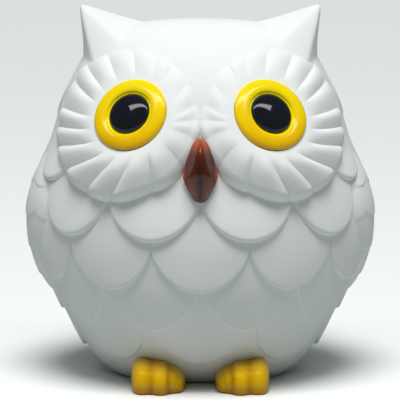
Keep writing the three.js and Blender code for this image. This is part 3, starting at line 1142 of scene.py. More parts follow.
    def build(self, skin: bpy.types.Object, finish: bpy.types.Material) -> list[bpy.types.Object]:
        """Grows every ring over the skin.

        Args:
            skin: the body's skin.
            finish: the feathers' material.

        Returns:
            One plain mesh object for each ring.
        """
        tree = self.tree()
        return [self._grown(tree, row, skin, finish) for row in self.rows]

    def _grown(
        self, tree: bpy.types.NodeTree, row: FeatherRow, skin: bpy.types.Object, finish: bpy.types.Material
    ) -> bpy.types.Object:
        """Grows one ring and bakes it to a plain mesh.

        Args:
            tree: the tree that grows it.
            row: the ring's sizes.
            skin: the body's skin.
            finish: the feathers' material.

        Returns:
            The ring.
        """
        values = {
            "Tip": row.tip * MM,
            "Joint": row.joint * MM,
            "Above": row.above * MM,
            "Lip": row.lip * MM,
            "Crown": row.crown * MM,
            "Flare": row.flare * MM,
            "Edge": row.edge * MM,
            "Sunk": self.sunk * MM,
            "Phase": row.phase,
            "Arc": self.arc,
            "Bare front": math.radians(row.bare_front),
            "Width over depth": self.width_over_depth,
            "Axis depth": AXIS_Y,
            "Count": row.count,
            "Across": self.across + 1,
            "Along": self.along + 1,
            "Skin": skin,
            "Finish": finish,
        }
        return grown(f"feathers_{row.name}", tree, values)


def grown(name: str, tree: bpy.types.NodeTree, values: dict[str, object]) -> bpy.types.Object:
    """Evaluates a Geometry Nodes tree into a plain mesh object.

    Args:
        name: the piece's name.
        tree: the tree.
        values: its inputs by name.

    Returns:
        The object, with no modifier left on it.
    """
    mesh = bpy.data.meshes.new(name)
    piece = bpy.data.objects.new(name, mesh)
    bpy.context.scene.collection.objects.link(piece)
    modifier = piece.modifiers.new("Grow", "NODES")
    modifier.node_group = tree
    for item in tree.interface.items_tree:
        if item.in_out == "INPUT" and item.name in values:
            modifier[item.identifier] = values[item.name]
    graph = bpy.context.evaluated_depsgraph_get()
    result = bpy.data.meshes.new_from_object(piece.evaluated_get(graph))
    piece.modifiers.clear()
    piece.data = result
    result.name = name
    bpy.data.meshes.remove(mesh)
    for helper in ("across", "rise", "outer", "middle"):
        if helper in result.attributes:
            result.attributes.remove(result.attributes[helper])
    return piece


# ---------------------------------------------------------------- eyes


@dataclass
class Eye:
    """A raised ring of yellow glaze with a domed black pupil in it, seated in a facial disc."""

    skin: Skin
    spread: float = 28.5
    height: float = 118.7
    turn: float = 25.0  # degrees outwards
    lift: float = 30.0  # degrees upwards
    stand: float = 1.6  # the ring's rim over the skin at the eye's middle
    ring: float = 16.2
    crest: float = 1.9
    pupil: float = 9.0
    dome: float = 4.0
    shoulder: float = 1.3  # height at which the pupil's dome starts
    seat_gap: float = 0.05  # round the pupil, in the ring
    lip: float = 0.9  # width of the ring's inner ledge
    inner_rise: float = 1.2  # how much the crown rises towards the pupil
    root: float = 2.6  # depth of the ring's foot under its rim
    fullness: float = 0.7  # below 1, the crown is fuller than an ellipse
    # Turning points below the crown, as distance outside the ring's edge and height.
    foot: tuple[tuple[float, float], ...] = ((-1.2, -2.6), (0.0, -2.0), (0.05, -0.2))
    crown_foot: float = 0.25
    # Turning points of the ledge inside the crown, as distance outside the seat and height.
    ledge: tuple[tuple[float, float], ...] = ((0.75, 1.4), (0.5, 1.62), (0.2, 1.5), (0.0, 0.9))
    seat_floor: float = 0.6
    # Turning points of the pupil's foot, as distance inside its edge and height.
    pupil_foot: tuple[tuple[float, float], ...] = ((0.2, 0.7), (0.0, 0.9))
    dome_fullness: float = 0.8
    steps: int = 40
    columns: int = 144

    def axis(self) -> np.ndarray:
        """The left eye's outward direction."""
        turn, lift = math.radians(self.turn), math.radians(self.lift)
        return np.array([math.cos(lift) * math.sin(turn), -math.cos(lift) * math.cos(turn), math.sin(lift)])

    def centre(self) -> np.ndarray:
        """Finds the middle of the left ring's rim.

        Returns:
            Its place.
        """
        z = np.array(self.height)
        around = self.skin.around_of(np.array(self.spread), z)
        return self.skin.over(z, around, np.array(self.stand))

    def _turned(self, name: str, profile: np.ndarray, side: Side) -> bpy.types.Object:
        """A body of revolution about the eye's axis.

        Args:
            name: the piece's name.
            profile: radius and height, from the axis underneath to the axis on top.
            side: the side of the face.

        Returns:
            The piece.
        """
        frame_z = self.axis()
        frame_x = np.cross([0.0, 0.0, 1.0], frame_z)
        frame_x /= np.linalg.norm(frame_x)
        frame_y = np.cross(frame_z, frame_x)
        turn = np.linspace(0.0, 2 * math.pi, self.columns, endpoint=False)
        radius, height = profile[:, :1], profile[:, 1:]
        points = (
            self.centre()
            + (radius * np.cos(turn))[..., None] * frame_x
            + (radius * np.sin(turn))[..., None] * frame_y
            + (height + 0 * turn)[..., None] * frame_z
        )
        quads = grid_quads(len(profile), self.columns, True)
        return piece_from(name, points, quads, side is Side.RIGHT)

    def ring_profile(self) -> np.ndarray:
        """Draws the ring: flat underneath, a rounded crown, and a ledge that the pupil sits in.

        Returns:
            Radius and height, from the axis underneath to the axis on top.
        """
        seat = self.pupil + self.seat_gap
        crown = (self.ring + seat + self.lip) / 2
        half = (self.ring - seat - self.lip) / 2
        turn = np.linspace(0.0, math.pi, self.steps)
        high = self.crown_foot + self.crest * np.sin(turn) ** self.fullness
        high = high + self.inner_rise * (turn / math.pi) ** 2
        over = np.stack([crown + half * np.cos(turn), high], axis=1)
        under = np.array(self.foot) + [self.ring, 0.0]
        ledge = np.array(self.ledge) + [seat, 0.0]
        return np.vstack([[[0.0, -self.root]], under, over, ledge, [[0.0, self.seat_floor]]])

    def pupil_profile(self) -> np.ndarray:
        """Draws the pupil: a dome with a rounded shoulder, let into the ring.

        Returns:
            Radius and height, from the axis underneath to the axis on top.
        """
        rise = np.linspace(0.0, math.pi / 2, 26)
        height = self.shoulder + (self.dome - self.shoulder) * np.sin(rise)
        dome = np.stack([self.pupil * np.cos(rise) ** self.dome_fullness, height], axis=1)
        dome[-1, 0] = 0.0
        foot = np.array(self.pupil_foot) * [-1.0, 1.0] + [self.pupil, 0.0]
        return np.vstack([[[0.0, foot[0, 1]]], foot, dome])

    def _pool(self, points: np.ndarray, side: Side) -> np.ndarray:
        """Works out the ring's tone: glaze pooled at its foot, painted shade low down and a painted
        highlight on the ledge.

        Args:
            points: points of the ring.
            side: the side of the face.

        Returns:
            A value from 0 to 1 for each point, darker the higher.
        """
        local = points * [side.value, 1.0, 1.0] - self.centre()
        high = local @ self.axis()
        flat = local - high[:, None] * self.axis()
        reach = np.linalg.norm(flat, axis=1)
        # painted shade: the ring is drawn darker towards its bottom, as if lit from above
        down = 0.5 - 0.5 * flat[:, 2] / self.ring
        foot = smooth(1.6, 0.0, high) * smooth(self.ring - 3.0, self.ring, reach)
        # painted highlight: the ledge round the pupil is drawn lighter, as if catching the light
        ledge = smooth(self.pupil + 1.6, self.pupil + 0.6, reach)
        return np.clip(0.12 + 0.66 * down**1.6 + 0.14 * foot - 0.6 * ledge, 0.0, 1.0)

    def _dome_pool(self, points: np.ndarray, side: Side) -> np.ndarray:
        """Works out how deep the pupil's glaze lies: deeper at its foot.

        Args:
            points: points of the pupil.
            side: the side of the face.

        Returns:
            A depth from 0 to 1 for each point.
        """
        high = (points * [side.value, 1.0, 1.0] - self.centre()) @ self.axis()
        return smooth(3.5, 1.2, high)

    def build(self, side: Side, ring: bpy.types.Material, pupil: bpy.types.Material) -> None:
        """Makes and dresses one eye.

        Args:
            side: the side of the face.
            ring: the ring's glaze.
            pupil: the pupil's glaze.
        """
        made = self._turned(f"{side.word}_iris_glaze", self.ring_profile(), side)
        # the ring's stored values carry painted shade low on the ring and a painted highlight on the ledge,
        # besides the glaze pooled at its foot
        store(made, "pool", lambda points: self._pool(points, side))
        dress(made, ring, "yellow_glaze", f"{side.word}_iris")
        dot = self._turned(f"{side.word}_pupil_glaze", self.pupil_profile(), side)
        store(dot, "pool", lambda points: self._dome_pool(points, side))
        dress(dot, pupil, "black_glaze", f"{side.word}_pupil")


# ---------------------------------------------------------------- facial discs


@dataclass
class FacialDisc:
    """A ring of swept, overlapping lobes round an eye, proud of the breast at the bottom.

    Angles are in degrees as seen from the front on the owl's left side: 0 is outwards, 90 is up and
    180 is towards the beak.
    """

    skin: Skin
    eye: Eye
    # Where each crease starts at the eye's ring and where it ends at the outline.
    creases: tuple[tuple[float, float], ...] = (
        (-3.0, 1.0),
        (17.6, 26.5),
        (38.8, 43.4),
        (65.0, 65.0),
        (94.0, 88.5),
        (116.5, 111.0),
        (133.0, 127.5),
        (157.0, 147.5),
        (177.5, 167.0),
        (185.5, 181.5),
        (193.0, 200.0),
        (215.5, 224.0),
        (243.0, 254.0),
        (271.0, 283.0),
        (292.5, 298.5),
        (308.0, 317.5),
        (325.5, 333.5),
        (341.5, 347.0),
    )
    outline: tuple[tuple[float, float], ...] = (
        (0.0, 31.9),
        (25.0, 29.8),
        (60.0, 28.8),
        (130.0, 29.2),
        (180.0, 29.3),
        (213.0, 31.0),
        (235.0, 32.4),
        (260.0, 33.6),
        (285.0, 37.3),
        (318.0, 38.2),
        (338.0, 35.2),
    )
    edge_height: tuple[tuple[float, float], ...] = (
        (0.0, 2.2),
        (40.0, 1.6),
        (90.0, 0.9),
        (140.0, 0.8),
        (180.0, 1.6),
        (215.0, 3.4),
        (250.0, 5.0),
        (290.0, 5.4),
        (320.0, 4.4),
        (340.0, 3.0),
    )
    lobe_height: tuple[tuple[float, float], ...] = (
        (0.0, 1.5),
        (45.0, 1.5),
        (90.0, 1.3),
        (140.0, 0.8),
        (180.0, 0.35),
        (215.0, 0.6),
        (250.0, 1.4),
        (300.0, 1.7),
        (340.0, 1.6),
    )
    lobe_columns: int = 28
    rows: int = 104
    sweep: float = 1.3  # how late the creases bend towards the outline
    scallop: float = 0.8  # how far a lobe's end stands out of the outline
    tuck: float = 0.5  # how far the disc runs in under the ring
    level_span: float = 1.6  # how far the disc's inner edge may leave the ring's level
    fall: float = 0.06  # how fast it falls away from the ring
    cushion: float = 1.7  # swelling of the cheek
    crease_run: tuple[float, float] = (1.8, 9.0)  # how far from the ring a crease starts and is full
    rim_round: tuple[float, float] = (1.6, 3.4)  # rounding of the edge, least, and what a high edge adds
    depth: float = 3.0  # how far the underside lies under the sheet
    crown_gap: float = 1.2  # how far under the crown the outline stops
    feathered: float = 0.25  # how far under the skin a low edge runs out

    def _layout(self) -> tuple[np.ndarray, np.ndarray, np.ndarray]:
        """Lays out the disc's grid of rings and swept lobes.

        Returns:
            The angle, the share of the way from the ring to the outline, and the place within a lobe.
        """
        starts = np.array(self.creases)
        ends = np.vstack([starts[1:], starts[:1] + 360.0])
        share = np.linspace(0.0, 1.0, self.rows)[:, None, None]
        place = (np.arange(self.lobe_columns) / self.lobe_columns)[None, None, :]
        sweep = share**self.sweep
        low = starts[:, 0] + (starts[:, 1] - starts[:, 0]) * sweep[..., 0]
        high = ends[:, 0] + (ends[:, 1] - ends[:, 0]) * sweep[..., 0]
        angle = low[..., None] + (high - low)[..., None] * place
        return angle, share + 0 * angle, place + 0 * angle

    def _ring_edge(self, angle: np.ndarray) -> np.ndarray:
        """Works out how far the tilted ring's edge lies from the eye's middle, seen from the front.

        Args:
            angle: angles round the eye, in degrees.

        Returns:
            The distances.
        """
        axis = self.eye.axis()
        turn = np.radians(angle)
        depth = (axis[0] * np.cos(turn) + axis[2] * np.sin(turn)) / axis[1]
        return (self.eye.ring - self.tuck) / np.sqrt(1 + depth**2)

    def build(self, side: Side, finish: bpy.types.Material) -> bpy.types.Object:
        """Makes and dresses one disc.

        Args:
            side: the side of the face.
            finish: its material.

        Returns:
            The disc.
        """
        angle, share, place = self._layout()
        scallop = self.scallop * (1 - (np.abs(place - 0.55) / 0.55) ** 2.5)
        reach = round_table(self.outline, angle) - self.scallop
        reach = reach + scallop * round_table(self.lobe_height, angle) / 1.5
        inner = self._ring_edge(angle)
        radius = inner + (reach - inner) * share
        x = self.eye.spread + radius * np.cos(np.radians(angle))
        z = np.minimum(self.eye.height + radius * np.sin(np.radians(angle)), self.skin.top - self.crown_gap)
        around = self.skin.around_of(x, z)
        base = self.skin.point(z, around)
        out = self.skin.normal(z, around)
        lift, height = self._heights(angle, radius, inner, reach, place, base)
        sheet = base + out * height[..., None] + np.array([0.0, -1.0, 0.0]) * lift[..., None]
        rows = sheet.reshape(self.rows, -1, 3)
        low = (sheet - out * self.depth).reshape(self.rows, -1, 3)
        points = np.concatenate([low[:1], rows, low[-1:]])
        quads = grid_quads(len(points), points.shape[1], True)[:, ::-1]
        piece = piece_from(f"{side.word}_facial_disc", points, quads, side is Side.RIGHT)
        dress(piece, finish, "white_bisque", "body_shell")
        return piece

    def _heights(
        self,
        angle: np.ndarray,
        radius: np.ndarray,
        inner: np.ndarray,
        reach: np.ndarray,
        place: np.ndarray,
        base: np.ndarray,
    ) -> tuple[np.ndarray, np.ndarray]:
        """Works out how high the disc stands.

        Args:
            angle: angles round the eye, in degrees.
            radius: distances from the eye's middle, seen from the front.
            inner: the ring's edge at each angle.
            reach: the outline at each angle.
            place: places within a lobe, from 0 to 1.
            base: the skin under the disc.

        Returns:
            How far the disc comes forward round the eye, and its height over the skin elsewhere.
        """
        centre, axis = self.eye.centre(), self.eye.axis()
        level = (base - centre) @ axis / axis[1]
        level = level[0] + self.level_span * np.tanh((level - level[0]) / self.level_span)
        level = level + 0.5 - self.fall * (radius - inner)
        share = (radius - inner) / (reach - inner)
        edge = round_table(self.edge_height, angle)
        blend = smooth(0.0, 0.95, share)
        depth = smooth(*self.crease_run, radius - inner) * (1 - 0.35 * smooth(0.75, 1.0, share))
        low = smooth(0.35, -0.8, np.sin(np.radians(angle)))
        height = edge * blend + self.cushion * low * np.sin(np.pi * share) ** 1.4
        height = height + round_table(self.lobe_height, angle) * self._lobe(angle, place) * depth
        rim = self.rim_round[0] + self.rim_round[1] * smooth(0.5, 4.5, edge)
        near = 1 - np.clip((reach - radius) / rim, 0.0, 1.0)
        fall = 1 - np.sqrt(np.clip(1 - near**2.2, 0.0, 1.0))
        fade = smooth(0.6, 1.0, share)
        steep = smooth(1.0, 2.2, edge)
        stepped = height - fall * (height + 1.0)
        faded = height * (1 - fade) - self.feathered * fade
        return level * (1 - blend), stepped * steep + faded * (1 - steep)

    @staticmethod
    def _lobe(angle: np.ndarray, place: np.ndarray) -> np.ndarray:
        """Draws the section across a lobe: swept low down, rounder on top and soft beside the beak.

        Args:
            angle: angles round the eye, in degrees.
            place: places within a lobe, from 0 to 1.

        Returns:
            The section's height, above and below the lobe's mean.
        """
        turn = np.radians(angle)
        top = 0.65 * smooth(-0.2, 1.0, np.sin(turn))
        bridge = 0.8 * smooth(-0.6, -0.95, np.cos(turn))
        swept = place**0.85 * (1 - place**4.5) / 0.62
        rounded = np.sin(np.pi * place**1.15) ** 0.75
        soft = 1.1 * np.sin(np.pi * place) ** 2
        lobe = swept * (1 - top) + rounded * top
        return lobe * (1 - bridge) + soft * bridge - 0.6


# ---------------------------------------------------------------- wings and tail


@dataclass(frozen=True)
class Coverts:
    """One row of feather tips across a wing or the tail."""

    line: float  # where the tips lie, as a share of the length from the tip up
    count: int
    phase: float  # shift along the row, in feathers


def feather_steps(rows: Sequence[Coverts], u: np.ndarray, v: np.ndarray, droop: float) -> np.ndarray:
    """Overlapping rows of round-tipped feathers, as a height from 0 to about 1.

    Args:
        rows: the rows.
        u: place across, from -1 to 1.
        v: place along, from 0 at the tip to 1 at the top.
        droop: how far a tip hangs below its joints, as a share of the length.

    Returns:
        The height at each place: highest at a tip and falling off up to the next row.
    """
    step_run = (-0.006, 0.012)  # where a tip's step starts and ends, over its line
    slope_run = 0.16  # how fast the height falls off above a tip
    edge_height = 0.75  # at a feather's sides, where its middle has 1
    joint_round = 0.92  # 1 would draw each tip as a half circle
    height = np.zeros(np.broadcast(u, v).shape)
    for row in rows:
        across = 2 * np.mod(row.count * (u + 1) / 2 + row.phase, 1.0) - 1
        line = row.line + droop * (1 - np.sqrt(1 - joint_round * across**2))
        over = v - line
        shown = smooth(*step_run, over)
        crown = edge_height + (1 - edge_height) * (1 - across**2)
        height = height * (1 - shown) + crown * np.exp(-over.clip(0.0) / slope_run) * shown
    return height


@dataclass
class Wing:
    """A folded wing: a long rounded lobe on the side, with rows of feather tips down it."""

    skin: Skin
    top: float = 101.2
    tip: float = 33.0
    middle: float = 96.0  # degrees from the front
    half: float = 33.0
    sweep: float = 12.0
    thickness: float = 4.6
    rows: tuple[Coverts, ...] = (
        Coverts(-0.2, 1, 0.0),
        Coverts(0.17, 2, 0.5),
        Coverts(0.36, 3, 0.0),
        Coverts(0.56, 4, 0.5),
        Coverts(0.76, 4, 0.0),
    )
    step: float = 0.85  # height of a feather tip over the next row
    droop: float = 0.07
    root: float = 1.4  # how far the rim is let into the skin
    inner_depth: float = 2.0  # how far the underside lies under the skin
    waist: float = 0.6  # where the wing is widest, as a share of its length from the tip
    across: int = 170
    along: int = 230

    def build(self, side: Side, finish: bpy.types.Material) -> None:
        """Makes and dresses one wing.

        Args:
            side: the side of the body.
            finish: its material.
        """
        u = np.sin(np.linspace(-0.5, 0.5, self.across) * math.pi)[None, :]
        v = (0.5 - 0.5 * np.cos(np.linspace(0.0, math.pi, self.along)))[:, None]
        z = self.tip + (self.top - self.tip) * v + 0 * u
        above = np.sqrt((1 - ((v - self.waist) / (1 - self.waist)) ** 2).clip(0.0))
        below = np.cos((self.waist - v).clip(0.0) / self.waist * 1.5) ** 0.7
        spread = np.where(v > self.waist, above, below).clip(0.03)
        around = np.radians(self.middle + self.sweep * (self.waist - v) + self.half * spread * u)
        body = np.sqrt(1 - u**4) * np.sqrt(1 - (2 * v - 1) ** 12) * (1 - 0.45 * smooth(0.62, 1.0, v))
        out = -self.root + (self.thickness + self.root) * body
        out = out + self.step * body * (feather_steps(self.rows, u, v, self.droop) - 0.5)
        sheet = self.skin.over(z, around, out)
        inner = self.skin.over(z, around, np.full_like(out, -self.inner_depth))
        piece = plate(f"{side.word}_wing_relief", sheet, inner, side)
        dress(piece, finish, "white_bisque", f"{side.word}_wing")


def plate(name: str, sheet: np.ndarray, inner: np.ndarray, side: Side) -> bpy.types.Object:
    """A closed relief between an outer and an inner sheet of the same grid.

    Args:
        name: the piece's name.
        sheet: the outer points, with rows upwards and columns towards +X seen from the front.
        inner: the inner points.
        side: the side of the body; the right is the left, mirrored.

    Returns:
        The piece.
    """
    rows, columns = sheet.shape[:2]
    front = grid_quads(rows, columns, False)
    back = front[:, ::-1] + rows * columns
    j, i = np.divmod(np.arange(rows * columns), columns)
    bottom, top = np.flatnonzero(j == 0), np.flatnonzero(j == rows - 1)
    left, right = np.flatnonzero(i == 0), np.flatnonzero(i == columns - 1)
    loop = np.concatenate([bottom, right[1:], top[::-1][1:], left[::-1][1:-1]])
    after = np.roll(loop, -1)
    lift = rows * columns
    rim = np.stack([loop, loop + lift, after + lift, after], axis=1)
    points = np.concatenate([sheet.reshape(-1, 3), inner.reshape(-1, 3)])
    return piece_from(name, points, np.concatenate([front, back, rim]), side is Side.RIGHT)


@dataclass
class Tail:
    """A short fan of tail feathers low on the back."""

    skin: Skin
    top: float = 52.0
    tip: float = 11.5
    half: float = 19.0
    thickness: float = 4.4
    feathers: int = 3
    scallop: float = 4.5  # how far the joints lie over the tips
    bow: float = 4.0  # how far the outer tips lie over the middle one
    root: float = 1.4  # how far the rim is let into the skin
    inner_depth: float = 2.0  # how far the underside lies under the skin
    across: int = 150
    along: int = 120

    def build(self, finish: bpy.types.Material) -> None:
        """Makes and dresses the tail.

        Args:
            finish: its material.
        """
        u = np.linspace(-1.0, 1.0, self.across)[None, :]
        v = np.linspace(0.0, 1.0, self.along)[:, None]
        place = 2 * np.mod(self.feathers * (u + 1) / 2, 1.0) - 1
        round_tip = np.sqrt((1 - 0.96 * place**2).clip(0.0))
        foot = self.tip + self.scallop * (1 - round_tip) + self.bow * u**2
        z = foot + (self.top - foot) * v
        around = math.pi + np.radians(self.half * (1 - 0.35 * v) * u)
        body = np.sqrt(1 - u**8) * smooth(0.0, 0.08, v) ** 0.5 * (1 - smooth(0.45, 0.95, v))
        high = self.thickness + self.root + (round_tip - 0.6)
        out = -self.root + high * body * (1 - 0.3 * v)
        sheet = self.skin.over(z, around, out)
        inner = self.skin.over(z, around, np.full_like(out, -self.inner_depth))
        piece = plate("tail_relief", sheet, inner, Side.LEFT)
        dress(piece, finish, "white_bisque", "tail")


# ---------------------------------------------------------------- beak and feet


@dataclass
class Beak:
    """A kite-shaped beak with a ridge down it and a blunt hooked tip, let into the face."""

    skin: Skin
    top: float = 110.8
    length: float = 26.4
    width: float = 14.4
    rise: float = 7.0
    face: float = 3.2  # height of the face over the skin where the beak stands
    widest: float = 0.6  # share of the length down to the widest place
    blunt: tuple[float, float] = (0.15, 0.26)  # share of the width left at the top and at the tip
    bulge: tuple[float, float] = (0.64, 0.85)  # how full the outline is above and below the widest place
    corner: float = 0.09  # rounding of the widest place
    end: float = 0.14  # share of each half over which its end closes
    arch: float = 0.62  # below 1, the ridge rises sooner from its ends
    ridge_drop: float = 0.9  # below 1, the ridge is highest above the middle
    bevel: float = 1.35  # how far the flats are rounded
    root: float = 2.6  # how far the beak is let into the skin
    columns: int = 120
    rows: int = 110

    def build(self, finish: bpy.types.Material) -> None:
        """Makes and dresses the beak.

        Args:
            finish: its material.
        """
        down = np.linspace(0.0, 1.0, self.rows)[:, None]
        turn = np.linspace(0.0, 2 * math.pi, self.columns, endpoint=False)[None, :]
        over = down < self.widest
        near = np.where(over, down / self.widest, (1 - down) / (1 - self.widest))
        blunt = np.where(over, *self.blunt)
        line = blunt + (1 - blunt) * near ** np.where(over, *self.bulge)
        rounded = soft_least([line, 0 * line + 1.0], self.corner)
        end = np.sqrt(1 - (1 - np.clip(near / self.end, 0, 1)) ** 2)
        swell = rounded / rounded.max() * end
        half = self.width / 2 * swell
        z = self.top - self.length * down
        face = self.skin.point(z, 0 * z)[..., 1] - self.face
        ridge = self.rise * np.sin(np.pi * down**self.ridge_drop).clip(0.0) ** self.arch
        sine, cosine = np.sin(turn), np.cos(turn)
        front = ridge * (1 - np.abs(sine) ** self.bevel)
        back = (self.root + self.face) * cosine * swell
        out = np.where(cosine > 0, front, back)
        points = np.stack([half * sine, face - out, z + 0 * turn], axis=-1)
        quads = grid_quads(self.rows, self.columns, True)[:, ::-1]
        piece = piece_from("beak_glaze", points, quads)
        # the stored values carry a painted dark reflection down the lower ridge along with the glaze's depth
        store(piece, "pool", self._pool)
        dress(piece, finish, "brown_glaze", "beak")

    def _pool(self, at: np.ndarray) -> np.ndarray:
        """Works out how deep the glaze lies, thick on the flats and thin at the rim, with a painted dark
        reflection down the lower ridge.

        Args:
            at: points of the beak.

        Returns:
            A value from 0 to 1 for each point.
        """
        fall = ((self.top - at[:, 2]) / self.length).clip(0.0, 1.0)
        # painted reflection: a dark line drawn down the lower half of the ridge
        painted_ridge_reflection = np.exp(-((at[:, 0] / 1.6) ** 2)) * smooth(0.2, 0.85, fall)
        outwards = np.abs(at[:, 0]) * 2 / self.width / 0.95
        flats = smooth(0.05, 0.3, fall) * (1 - smooth(0.75, 1.05, outwards))
        deep = 0.62 * flats * (1 - 0.45 * smooth(0.45, 0.8, fall))
        return np.clip(0.12 + deep + 0.5 * painted_ridge_reflection, 0.0, 1.0)


@dataclass(frozen=True)
class Toe:
    """One rounded toe of the left foot."""

    across: float  # from the body's middle
    reach: float  # how far it comes forward
    half_width: float
    height: float
    heel: float = 20.0  # where it starts, in front of the axis


@dataclass
class Foot:
    """Three rounded toes run together under one thick glaze, flat underneath."""

    toes: tuple[Toe, ...] = (
        Toe(24.7, 50.8, 5.2, 13.0),
        Toe(17.2, 52.0, 5.4, 12.2),
        Toe(10.8, 47.4, 4.6, 7.4),
        Toe(20.8, 50.2, 7.4, 12.4),
        Toe(14.2, 49.0, 6.2, 10.4),
        Toe(12.0, 47.4, 5.6, 8.6),
    )
    square: float = 0.78  # below 1, a toe is fuller than an egg
    centre: float = 0.36  # a toe's middle, as a share of its height
    voxel: float = 0.42
    smoothing: int = 16
    columns: int = 48
    rows: int = 36
    valley: float = 1.3  # width of a groove between toes

    def build(self, side: Side, finish: bpy.types.Material) -> None:
        """Makes and dresses one foot.

        Args:
            side: the side of the body.
            finish: its glaze.
        """
        turn = np.linspace(0.0, 2 * math.pi, self.columns, endpoint=False)[None, :]
        tilt = np.linspace(-math.pi / 2, math.pi / 2, self.rows)[:, None]
        flat = np.cos(tilt)
        ball = np.stack([flat * np.cos(turn), flat * np.sin(turn), np.sin(tilt) + 0 * turn], axis=-1)
        ball = np.sign(ball) * np.abs(ball) ** self.square
        points, quads = [], []
        for toe in self.toes:
            half = (toe.reach - toe.heel) / 2
            middle = np.array([toe.across, -(toe.reach + toe.heel) / 2, toe.height * self.centre])
            shape = np.array([toe.half_width, half, toe.height * (1 - self.centre)])
            quads.append(grid_quads(self.rows, self.columns, True) + self.rows * self.columns * len(quads))
            points.append(ball * shape + middle)
        name = f"{side.word}_foot_glaze"
        piece = piece_from(name, np.array(points), np.concatenate(quads), side is Side.RIGHT)
        self._fuse(piece)
        self._flatten(piece)
        store(piece, "pool", lambda at: self._pool(at * [side.value, 1.0, 1.0]))
        dress(piece, finish, "amber_glaze", f"{side.word}_foot")

    def _fuse(self, piece: bpy.types.Object) -> None:
        """Joins the toes into one smooth skin.

        Args:
            piece: the foot.
        """
        remesh = piece.modifiers.new("Fuse", "REMESH")
        remesh.mode = "VOXEL"
        remesh.voxel_size = self.voxel * MM
        remesh.use_smooth_shade = True
        ease = piece.modifiers.new("Ease", "SMOOTH")
        ease.iterations = self.smoothing
        ease.factor = 0.5
        graph = bpy.context.evaluated_depsgraph_get()
        result = bpy.data.meshes.new_from_object(piece.evaluated_get(graph))
        piece.modifiers.clear()
        spare = piece.data
        piece.data = result
        bpy.data.meshes.remove(spare)

    def _flatten(self, piece: bpy.types.Object) -> None:
        """Cuts the underside flat on the ground.

        Args:
            piece: the foot.
        """
        work = bmesh.new()
        work.from_mesh(piece.data)
        every = list(work.verts) + list(work.edges) + list(work.faces)
        cut = bmesh.ops.bisect_plane(
            work, geom=every, plane_co=(0, 0, 0), plane_no=(0, 0, -1), clear_outer=True
        )
        edges = [e for e in cut["geom_cut"] if isinstance(e, bmesh.types.BMEdge)]
        bmesh.ops.holes_fill(work, edges=edges)
        for face in work.faces:
            face.smooth = True
        work.to_mesh(piece.data)
        work.free()

    def _pool(self, at: np.ndarray) -> np.ndarray:
        """Works out how deep the glaze lies: deep in the grooves between toes and low down.

        Args:
            at: points of the left foot.

        Returns:
            A depth from 0 to 1 for each point.
        """
        groove = np.zeros(len(at))
        for one, two in zip(self.toes[:2], self.toes[1:3]):
            line = (one.across - one.half_width + two.across + two.half_width) / 2
            groove = np.maximum(groove, np.exp(-(((at[:, 0] - line) / self.valley) ** 2)))
        low = smooth(7.0, 0.5, at[:, 2])
        return np.clip(0.15 + 0.5 * groove + 0.45 * low, 0.0, 1.0)


# ---------------------------------------------------------------- the studio


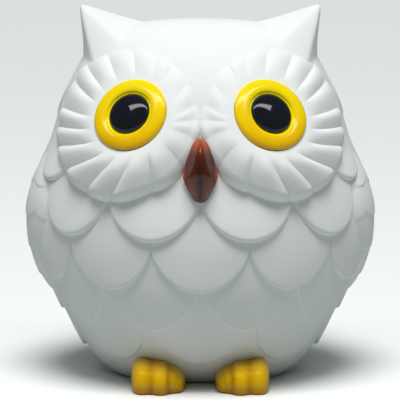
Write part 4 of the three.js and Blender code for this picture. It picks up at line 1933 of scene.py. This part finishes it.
@dataclass(frozen=True)
class Studio:
    """A pale floor, soft lights and the camera. Lengths are in metres and angles in degrees."""

    distance: float = 0.9
    elevation: float = 8.0
    aim_height: float = 0.07665
    frame_width: float = 0.1776  # what the view takes in at the body's axis
    shift_x: float = -0.00013
    sensor: float = 36.0
    floor_half: float = 8.0
    floor_drop: float = 0.0002
    floor_roughness: float = 0.6
    floor_pale: tuple[float, float, float] = (0.96, 0.98, 0.975)
    floor_bounce: tuple[float, float, float] = (0.5, 0.53, 0.52)
    sun_elevation: float = 75.0
    sun_strength: float = 2.5
    sun_angle: float = 30.0
    box_place: tuple[float, float, float] = (0.0, -0.38, 1.05)
    box_size: tuple[float, float] = (1.5, 0.14)
    box_power: float = 4.0
    box_aim: tuple[float, float, float] = (0.0, 0.0, 0.09)
    sky_colour: tuple[float, float, float, float] = (0.85, 1.0, 0.97, 1.0)
    sky_strength: float = 0.1

    def camera(self) -> None:
        """Places the camera in front of the owl, a little above it."""
        lens = bpy.data.cameras.new("View")
        lens.sensor_width = self.sensor
        lens.lens = self.sensor * self.distance / self.frame_width
        eye = bpy.data.objects.new("View", lens)
        lift = math.radians(self.elevation)
        aim = Vector((self.shift_x, AXIS_Y, self.aim_height))
        back = Vector((0.0, -math.cos(lift), math.sin(lift)))
        eye.location = aim + back * self.distance
        eye.rotation_euler = back.to_track_quat("Z", "Y").to_euler()
        bpy.context.scene.collection.objects.link(eye)
        bpy.context.scene.camera = eye

    def floor(self) -> None:
        """Lays a wide pale floor just under the object, which throws back less light than it shows."""
        mesh = bpy.data.meshes.new("floor")
        corners = ((-1, -1), (1, -1), (1, 1), (-1, 1))
        points = [(x * self.floor_half, y * self.floor_half, -self.floor_drop) for x, y in corners]
        mesh.from_pydata(points, [], [(0, 1, 2, 3)])
        floor = bpy.data.objects.new("floor", mesh)
        bpy.context.scene.collection.objects.link(floor)
        material, tree, shader = new_material("Pale floor")
        seen = tree.node("ShaderNodeLightPath").outputs["Is Camera Ray"]
        tree.join(colour_mix(tree, seen, self.floor_bounce, self.floor_pale), shader.inputs["Base Color"])
        shader.inputs["Roughness"].default_value = self.floor_roughness
        mesh.materials.append(material)

    def daylight(self) -> None:
        """Adds broad, even daylight from in front and above, too soft to show as a spot in the gloss."""
        lamp = bpy.data.lights.new("Daylight", "SUN")
        lamp.energy = self.sun_strength
        lamp.angle = math.radians(self.sun_angle)
        day = bpy.data.objects.new("Daylight", lamp)
        day.rotation_euler = (math.radians(90.0 - self.sun_elevation), 0.0, 0.0)
        day.visible_glossy = False
        bpy.context.scene.collection.objects.link(day)

    def softbox(self) -> None:
        """Hangs one long soft box over the owl, facing it."""
        box = bpy.data.lights.new("Softbox", "AREA")
        box.shape = "RECTANGLE"
        box.size, box.size_y = self.box_size
        box.energy = self.box_power
        lamp = bpy.data.objects.new("Softbox", box)
        lamp.location = self.box_place
        aim = Vector(self.box_aim) - Vector(self.box_place)
        lamp.rotation_euler = aim.to_track_quat("-Z", "Y").to_euler()
        bpy.context.scene.collection.objects.link(lamp)

    def sky(self) -> None:
        """Fills the shadows with a faint even light."""
        world = bpy.data.worlds.new("Studio")
        world.use_nodes = True
        sky = world.node_tree.nodes["Background"]
        sky.inputs["Color"].default_value = self.sky_colour
        sky.inputs["Strength"].default_value = self.sky_strength
        bpy.context.scene.world = world
        bpy.context.scene.view_settings.view_transform = "Standard"

    def build(self) -> None:
        """Sets up the whole studio."""
        self.camera()
        self.floor()
        self.daylight()
        self.softbox()
        self.sky()


# ---------------------------------------------------------------- everything


def main() -> None:
    """Builds the studio and every piece in order."""
    logging.basicConfig(level=logging.INFO, format="%(name)s %(message)s")
    Studio().build()
    effects = ClayEffects()
    bisque = BisqueFinish().make(effects)
    glaze = {one: one.value.make(effects) for one in Glaze}

    skin = Skin()
    shell = BodyShell(skin, Ears()).build()
    dress(shell, bisque, "white_bisque", "body_shell")
    for ring in FeatherCoat().build(shell, bisque):
        dress(ring, bisque, "white_bisque", "body_shell")
    eye = Eye(skin)
    disc = FacialDisc(skin, eye)
    wing = Wing(skin)
    foot = Foot()
    for side in Side:
        eye.build(side, glaze[Glaze.YELLOW], glaze[Glaze.BLACK])
        disc.build(side, bisque)
        wing.build(side, bisque)
        foot.build(side, glaze[Glaze.AMBER])
    Beak(skin).build(glaze[Glaze.BROWN])
    Tail(skin).build(bisque)


if __name__ == "__main__":
    main()
